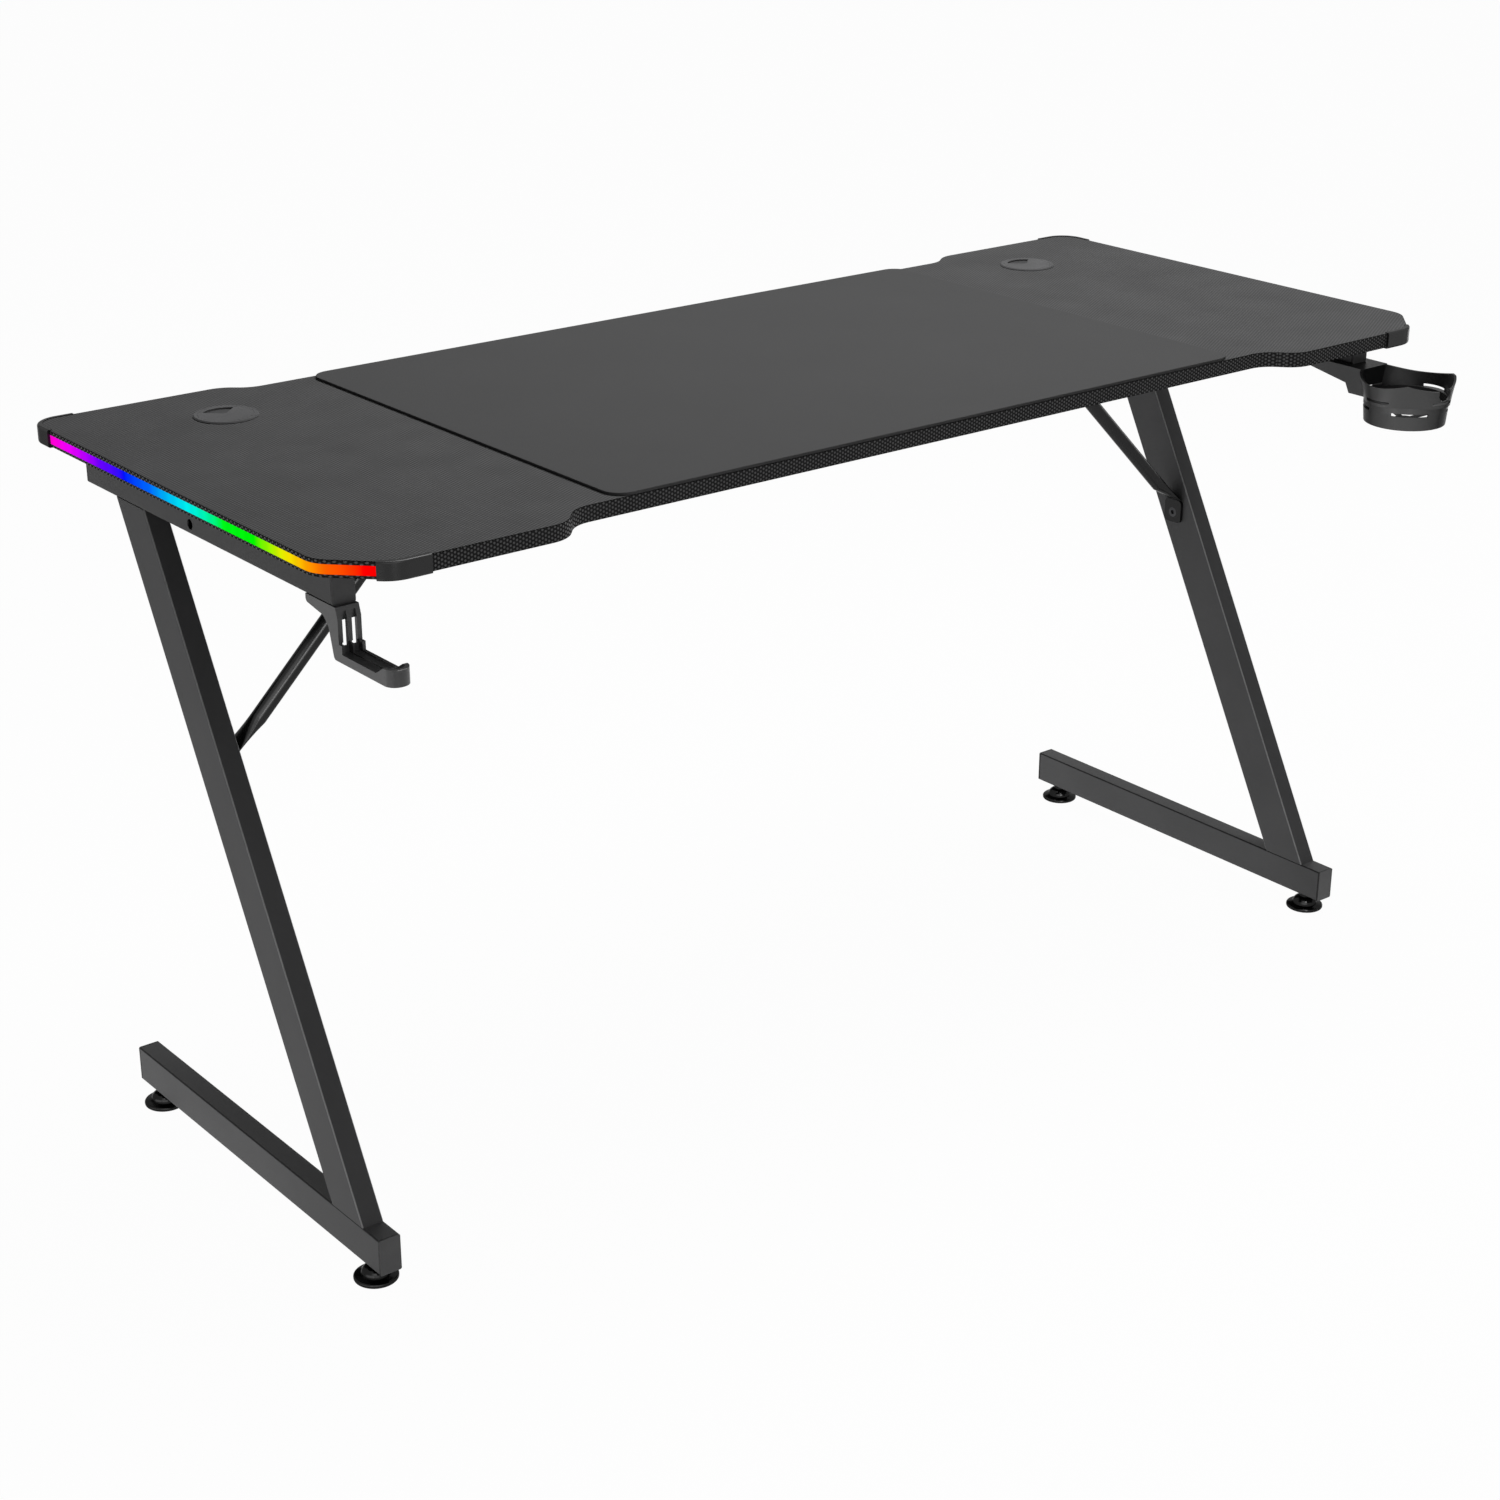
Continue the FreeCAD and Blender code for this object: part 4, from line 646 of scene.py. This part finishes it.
def islands(node):
    """Vertex positions of each separate solid of a CAD node."""
    shell = bmesh.new()
    shell.from_mesh(NODES[node].data)
    weld = 1e-6
    bmesh.ops.remove_doubles(shell, verts=shell.verts, dist=weld)
    shell.verts.index_update()
    reached = [False] * len(shell.verts)
    found = []
    for first in shell.verts:
        if reached[first.index]:
            continue
        reached[first.index] = True
        group, queue = [], [first]
        while queue:
            vert = queue.pop()
            group.append(vert.co.copy())
            for edge in vert.link_edges:
                other = edge.other_vert(vert)
                if not reached[other.index]:
                    reached[other.index] = True
                    queue.append(other)
        found.append(group)
    shell.free()
    return found


def screw_facts(points):
    """Seat, head radius and height, shank radius and length of an upright screw with its head below."""
    low = Vector([min(p[i] for p in points) for i in range(3)])
    high = Vector([max(p[i] for p in points) for i in range(3)])
    middle = (low + high) / 2
    reach = [(p.xy - middle.xy).length for p in points]
    tip_depth, rim_share = 1e-5, 0.98
    head_radius = (high.x - low.x) / 2
    shank_radius = max(far for far, p in zip(reach, points) if p.z > high.z - tip_depth)
    seat = max(p.z for far, p in zip(reach, points) if far > head_radius * rim_share)
    return Vector((middle.x, middle.y, seat)), head_radius, seat - low.z, shank_radius, high.z - seat


def screw_tree():
    """Threaded screws with domed, cross-recessed heads on every point, heads down."""
    tree = bpy.data.node_groups.new("threaded_screws", "GeometryNodeTree")
    make = Wiring(tree)
    tree.interface.new_socket("Geometry", in_out="OUTPUT", socket_type="NodeSocketGeometry")
    kinds = {"Places": "Geometry", **{name: "Float" for name in SCREW_SIZES}, "Thread pitch": "Float",
             "Recess share": "Float", "Seed": "Int", "Material": "Material"}
    for name, kind in kinds.items():
        tree.interface.new_socket(name, in_out="INPUT", socket_type="NodeSocket" + kind)
    given = make.add("NodeGroupInput").outputs
    radius, height, shank_radius, shank_length = [given[name] for name in SCREW_SIZES]
    x, y, z = make.parts(make.add("GeometryNodeInputPosition").outputs[0])
    reach = make.maths("SQRT", make.total(make.times(x, x), make.times(y, y)))

    def moved(mesh, rise):
        node = make.add("GeometryNodeTransform")
        make.fill(node, Geometry=mesh, Translation=make.vector(0.0, 0.0, rise))
        return node.outputs[0]

    def reshaped(mesh, position, selection=True):
        node = make.add("GeometryNodeSetPosition")
        make.fill(node, Geometry=mesh, Position=position, Selection=selection)
        return node.outputs[0]

    disc = make.add("GeometryNodeMeshCylinder", fill_type="TRIANGLE_FAN")
    make.fill(disc, Vertices=HEAD_SIDES, Side_Segments=1, Fill_Segments=HEAD_RINGS, Radius=radius,
              Depth=height)
    head = moved(disc.outputs[0], make.times(height, -0.5))
    spread = make.maths("POWER", make.maths("DIVIDE", reach, radius), CROWN_POWER)
    crown = make.maths("SUBTRACT", 1.0, make.times(spread, CROWN_DROP))
    head = reshaped(head, make.vector(x, y, make.times(height, -1.0, crown)),
                    make.maths("LESS_THAN", z, make.times(height, -0.5)))
    across = make.times(radius, 2.0, given["Recess share"])
    narrow = make.times(across, RECESS_WIDTH)
    sink = make.times(height, RECESS_DEPTH)
    cut = make.add("GeometryNodeMeshBoolean", operation="DIFFERENCE")
    make.put(cut.inputs["Mesh 1"], head)
    for size in ((across, narrow), (narrow, across)):
        slot = make.add("GeometryNodeMeshCube")
        make.fill(slot, Size=make.vector(*size, sink))
        make.put(cut.inputs["Mesh 2"], moved(slot.outputs[0], make.times(height, -1.0)))

    rod = make.add("GeometryNodeMeshCylinder", fill_type="NGON")
    make.fill(rod, Vertices=SHANK_SIDES, Side_Segments=SHANK_RINGS, Radius=shank_radius,
              Depth=shank_length)
    shank = moved(rod.outputs[0], make.times(shank_length, 0.5))
    climb = make.times(make.maths("DIVIDE", z, given["Thread pitch"]), -2.0 * math.pi)
    turn = make.total(make.maths("ARCTAN2", y, x), climb)
    ridge = make.remap(make.maths("COSINE", turn), -1.0, 1.0, THREAD_ROOT, 1.0)
    taper = make.remap(make.maths("DIVIDE", z, shank_length), TIP_START, 1.0, 1.0, TIP_RADIUS)
    slim = make.times(ridge, taper)
    shank = reshaped(shank, make.vector(make.times(x, slim), make.times(y, slim), z))

    whole = make.add("GeometryNodeJoinGeometry")
    make.put(whole.inputs[0], cut.outputs[0])
    make.put(whole.inputs[0], shank)
    turned = make.add("FunctionNodeRandomValue", data_type="FLOAT")
    limits = [socket for socket in turned.inputs if socket.enabled and socket.type == "VALUE"]
    for socket, value in zip(limits, (0.0, math.pi / 2)):
        make.put(socket, value)
    make.fill(turned, Seed=given["Seed"])
    angle = next(socket for socket in turned.outputs if socket.enabled)
    spots = make.add("GeometryNodeInstanceOnPoints")
    make.fill(spots, Points=given["Places"], Instance=whole.outputs[0],
              Rotation=make.vector(0.0, 0.0, angle))
    real = make.add("GeometryNodeRealizeInstances")
    make.put(real.inputs[0], spots.outputs[0])
    plated = make.add("GeometryNodeSetMaterial")
    make.fill(plated, Geometry=real.outputs[0], Material=given["Material"])
    make.put(make.add("NodeGroupOutput").inputs[0], plated.outputs[0])
    return tree


def screw_set(node, tree, look, material):
    """Replaces a CAD node of upright screws by threaded ones with a cross recess."""
    facts = [screw_facts(points) for points in islands(node)]
    cloud = bpy.data.meshes.new(node + "_places")
    cloud.from_pydata([fact[0] for fact in facts], [], [])
    source = bpy.data.objects.new(node + "_places", cloud)
    bpy.context.scene.collection.objects.link(source)
    modifier = source.modifiers.new("Screws", "NODES")
    modifier.node_group = tree
    values = {**dict(zip(SCREW_SIZES, facts[0][1:])), "Thread pitch": look.thread_pitch,
              "Recess share": look.recess_share, "Seed": look.seed, "Material": material}
    for item in tree.interface.items_tree:
        if item.in_out == "INPUT" and item.name in values:
            modifier[item.identifier] = values[item.name]
    graph = bpy.context.evaluated_depsgraph_get()
    mesh = bpy.data.meshes.new_from_object(source.evaluated_get(graph))
    bpy.data.objects.remove(source)
    mesh.polygons.foreach_set("use_smooth", [True] * len(mesh.polygons))
    mesh.set_sharp_from_angle(angle=SHARP_ANGLE)
    if not mesh.polygons:
        raise RuntimeError("no screws were made for " + node)
    piece = new_piece(node + "_threaded", mesh, material)
    stand_for(piece, "desk", SLOT_OF_NODE[node], node)


# Operators

class DESK_OT_film_top(bpy.types.Operator):
    """Wraps the desk top in embossed film"""

    bl_idname = "desk.film_top"
    bl_label = "Desk top"

    def execute(self, context):
        dress(embossed_film(context.scene.desk_film), "desktop_board")
        return {"FINISHED"}


class DESK_OT_corner_guards(bpy.types.Operator):
    """Finishes the corner guards in glossy black"""

    bl_idname = "desk.corner_guards"
    bl_label = "Corner guards"

    def execute(self, context):
        look = context.scene.desk_plastic
        gloss = moulded("guard_gloss", look.guard, roughness=0.3, grain=look.grain * 3.0, depth=0.000004,
                        gloss=0.6, turn=GUARD_TURN)
        dress(gloss, *[e + "_" + s + "_corner_guard" for e in ENDS for s in SIDES])
        return {"FINISHED"}


class DESK_OT_lit_edges(bpy.types.Operator):
    """Lights the strips in the ends of the desk top"""

    bl_idname = "desk.lit_edges"
    bl_label = "Lit edges"

    def execute(self, context):
        look = context.scene.desk_light
        low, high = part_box("left_led_diffuser")
        dress(lit_diffuser(look, (low.y, high.y)), *[s + "_led_diffuser" for s in SIDES])
        dress(printed_tape(look), *[s + "_led_tape" for s in SIDES])
        return {"FINISHED"}


class DESK_OT_cloth_mat(bpy.types.Operator):
    """Lays the cloth mat on the desk top"""

    bl_idname = "desk.cloth_mat"
    bl_label = "Cloth mat"

    def execute(self, context):
        look = context.scene.desk_mat
        low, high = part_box("desk_mat")
        backing = moulded("mat_backing", look.backing, roughness=0.85, grain=0.0008, depth=0.00004,
                          gloss=0.03)
        piece = new_piece("cloth_mat", mat_mesh(look, low, high), woven_cloth(look), backing)
        stand_for(piece, "desk", "mat_cloth", "desk_mat")
        dress(backing, "desk_mat")
        return {"FINISHED"}


class DESK_OT_grommets(bpy.types.Operator):
    """Finishes the cable grommets"""

    bl_idname = "desk.grommets"
    bl_label = "Cable grommets"

    def execute(self, context):
        look = context.scene.desk_plastic
        matt = {"roughness": 0.5, "grain": look.grain, "depth": 0.00003, "gloss": 0.01}
        dress(moulded("grommet_matt", look.grommet, **matt),
              *[s + "_grommet_" + p for s in SIDES for p in ("liner", "cap")])
        # Painted shade: shutters darker than the caps round them
        dress(moulded("shutter_matt", look.shutter, **matt), *[s + "_grommet_shutter" for s in SIDES])
        return {"FINISHED"}


class DESK_OT_side_frames(bpy.types.Operator):
    """Powder coats the side frames and the crossbeam, and plugs the tubes"""

    bl_idname = "desk.side_frames"
    bl_label = "Side frames"

    def execute(self, context):
        look = context.scene.desk_frame
        plastic = context.scene.desk_plastic
        # Painted shade along the rails' and crossbeam's rounded edges
        rail = painted("powder_coat", look.powder, look.powder_roughness, look, gloss=0.1,
                       painted_edge_light=look.rail_edge_shade)
        dress(rail, *[s + p for s in SIDES for p in ("_top_rail", "_foot_rail")], "crossbeam",
              "crossbeam_end_plates")
        # Painted highlight along the legs' rounded edges
        leg = painted("leg_coat", look.powder, look.powder_roughness, look, gloss=0.1,
                      painted_edge_light=look.leg_edge_highlight, lean=look.lean)
        dress(leg, *[s + "_leg_post" for s in SIDES])
        cap = moulded("cap_matt", plastic.cap, roughness=0.5, grain=plastic.grain, depth=0.00003,
                      gloss=0.19, rim=plastic.cap_rim)
        dress(cap, "top_rail_end_caps", "foot_rail_end_caps")
        return {"FINISHED"}


class DESK_OT_braces(bpy.types.Operator):
    """Paints the diagonal braces"""

    bl_idname = "desk.braces"
    bl_label = "Braces"

    def execute(self, context):
        look = context.scene.desk_frame
        satin = painted("satin_paint", look.satin, look.satin_roughness, look, gloss=1.0, turn=TUBE_TURN,
                        peel_share=0.02)
        dress(satin, *[s + "_brace" for s in SIDES])
        return {"FINISHED"}


class DESK_OT_levelling_feet(bpy.types.Operator):
    """Finishes the levelling feet"""

    bl_idname = "desk.levelling_feet"
    bl_label = "Levelling feet"

    def execute(self, context):
        look = context.scene.desk_plastic
        gloss = moulded("foot_gloss", look.foot, roughness=0.14, grain=look.grain * 3.0, depth=0.000004,
                        gloss=0.8, turn=FOOT_TURN)
        dress(gloss, *[e + "_" + s + "_foot_pad" for e in ENDS for s in SIDES])
        return {"FINISHED"}


class DESK_OT_holders(bpy.types.Operator):
    """Finishes the headphone hook and the cup holder"""

    bl_idname = "desk.holders"
    bl_label = "Hook and cup holder"

    def execute(self, context):
        look = context.scene.desk_plastic
        satin = {"roughness": 0.34, "grain": look.grain, "depth": 0.00001}
        dress(moulded("hook_satin", look.hook, gloss=0.42, **satin), "headphone_hook")
        # Painted shade on the inner faces of the cup holder
        dress(moulded("cup_satin", look.cup, gloss=0.75, turn=CUP_TURN, painted_well_shade=(CUP_AXIS, look.cup_inside_shade),
                      **satin), "cup_holder")
        return {"FINISHED"}


class DESK_OT_fasteners(bpy.types.Operator):
    """Cuts threads and recesses on the screws and plates the other fasteners"""

    bl_idname = "desk.fasteners"
    bl_label = "Fasteners"

    def execute(self, context):
        look = context.scene.desk_screw
        steel = plated_steel(look)
        dress(steel, *[name for name, slot in SLOT_OF_NODE.items() if slot == "fastener_steel"])
        tree = screw_tree()
        for node in UPRIGHT_SCREWS:
            screw_set(node, tree, look, steel)
        return {"FINISHED"}


class DESK_OT_light_controller(bpy.types.Operator):
    """Finishes the light controller, its leads and their clips"""

    bl_idname = "desk.light_controller"
    bl_label = "Light controller"

    def execute(self, context):
        look = context.scene.desk_plastic
        matt = moulded("controller_matt", look.controller, roughness=0.5, grain=look.grain, depth=0.00004,
                       gloss=0.45)
        dress(matt, "controller_housing", "controller_lid", "controller_button", "lead_clips")
        jacket = moulded("lead_jacket", look.lead, roughness=0.45, grain=look.grain * 2.0, depth=0.00002,
                         gloss=0.45)
        dress(jacket, "left_light_lead", "right_light_lead")
        dress(circuit_resin(), "controller_circuit_board")
        dress(bright_shell(), "power_socket")
        return {"FINISHED"}


class DESK_OT_stage(bpy.types.Operator):
    """Sets up the floor, the lamps, the sky and the camera"""

    bl_idname = "desk.stage"
    bl_label = "Studio"

    def execute(self, context):
        look = context.scene.desk_stage
        self.floor(look)
        self.sky(context.scene, look)
        for name, place, aim, size in LAMPS:
            self.lamp(name + "_lamp", place, aim, size, getattr(look, name))
        self.camera(context.scene, look)
        context.scene.view_settings.view_transform = "Standard"
        return {"FINISHED"}

    def floor(self, look):
        disc = bmesh.new()
        bmesh.ops.create_circle(disc, cap_ends=True, radius=FLOOR_RADIUS, segments=FLOOR_SIDES)
        mesh = bpy.data.meshes.new("studio_floor")
        disc.to_mesh(mesh)
        disc.free()
        new_piece("studio_floor", mesh, studio_paper(look))

    def sky(self, scene, look):
        world = bpy.data.worlds.new("studio_sky")
        world.use_nodes = True
        scene.world = world
        make = Wiring(world.node_tree)
        strength = make.remap(make.seen_directly(), 0.0, 1.0, look.sky, 1.0)
        make.fill(world.node_tree.nodes["Background"], Color=(1.0, 1.0, 1.0, 1.0), Strength=strength)

    def lamp(self, name, place, aim, size, energy):
        data = bpy.data.lights.new(name, "AREA")
        data.shape = "RECTANGLE"
        data.size, data.size_y = size
        data.energy = energy
        lamp = bpy.data.objects.new(name, data)
        lamp.location = place
        lamp.rotation_mode = "QUATERNION"
        lamp.rotation_quaternion = (Vector(aim) - Vector(place)).to_track_quat("-Z", "Y")
        bpy.context.scene.collection.objects.link(lamp)

    def camera(self, scene, look):
        data = bpy.data.cameras.new("studio_camera")
        data.sensor_fit = "HORIZONTAL"
        data.sensor_width = SENSOR_WIDTH
        data.lens = look.lens
        data.clip_end = 100.0
        camera = bpy.data.objects.new("studio_camera", data)
        camera.location = CAMERA_PLACE
        camera.rotation_mode = "QUATERNION"
        camera.rotation_quaternion = Vector(CAMERA_LOOK).to_track_quat("-Z", "Y")
        scene.collection.objects.link(camera)
        scene.camera = camera


OPERATORS = (
    DESK_OT_stage,
    DESK_OT_film_top,
    DESK_OT_corner_guards,
    DESK_OT_lit_edges,
    DESK_OT_cloth_mat,
    DESK_OT_grommets,
    DESK_OT_side_frames,
    DESK_OT_braces,
    DESK_OT_levelling_feet,
    DESK_OT_holders,
    DESK_OT_fasteners,
    DESK_OT_light_controller,
)


class DESK_PT_panel(bpy.types.Panel):
    """Lists the desk's steps and looks"""

    bl_idname = "DESK_PT_panel"
    bl_label = "Z-leg desk"
    bl_space_type = "VIEW_3D"
    bl_region_type = "UI"
    bl_category = "Desk"

    def draw(self, context):
        column = self.layout.column(align=True)
        for operator in OPERATORS:
            column.operator(operator.bl_idname)
        for name, group in LOOKS.items():
            box = self.layout.box()
            box.label(text=group.__doc__)
            for key in group.__annotations__:
                box.prop(getattr(context.scene, name), key)


def register():
    for group in LOOKS.values():
        bpy.utils.register_class(group)
    for name, group in LOOKS.items():
        setattr(bpy.types.Scene, name, PointerProperty(type=group))
    for kind in (*OPERATORS, DESK_PT_panel):
        bpy.utils.register_class(kind)


def unregister():
    for kind in reversed((*OPERATORS, DESK_PT_panel)):
        bpy.utils.unregister_class(kind)
    for name in LOOKS:
        delattr(bpy.types.Scene, name)
    for group in reversed(list(LOOKS.values())):
        bpy.utils.unregister_class(group)


def main():
    register()
    bpy.ops.desk.stage()
    bpy.ops.desk.film_top()
    bpy.ops.desk.corner_guards()
    bpy.ops.desk.lit_edges()
    bpy.ops.desk.cloth_mat()
    bpy.ops.desk.grommets()
    bpy.ops.desk.side_frames()
    bpy.ops.desk.braces()
    bpy.ops.desk.levelling_feet()
    bpy.ops.desk.holders()
    bpy.ops.desk.fasteners()
    bpy.ops.desk.light_controller()


if __name__ == "__main__":
    main()
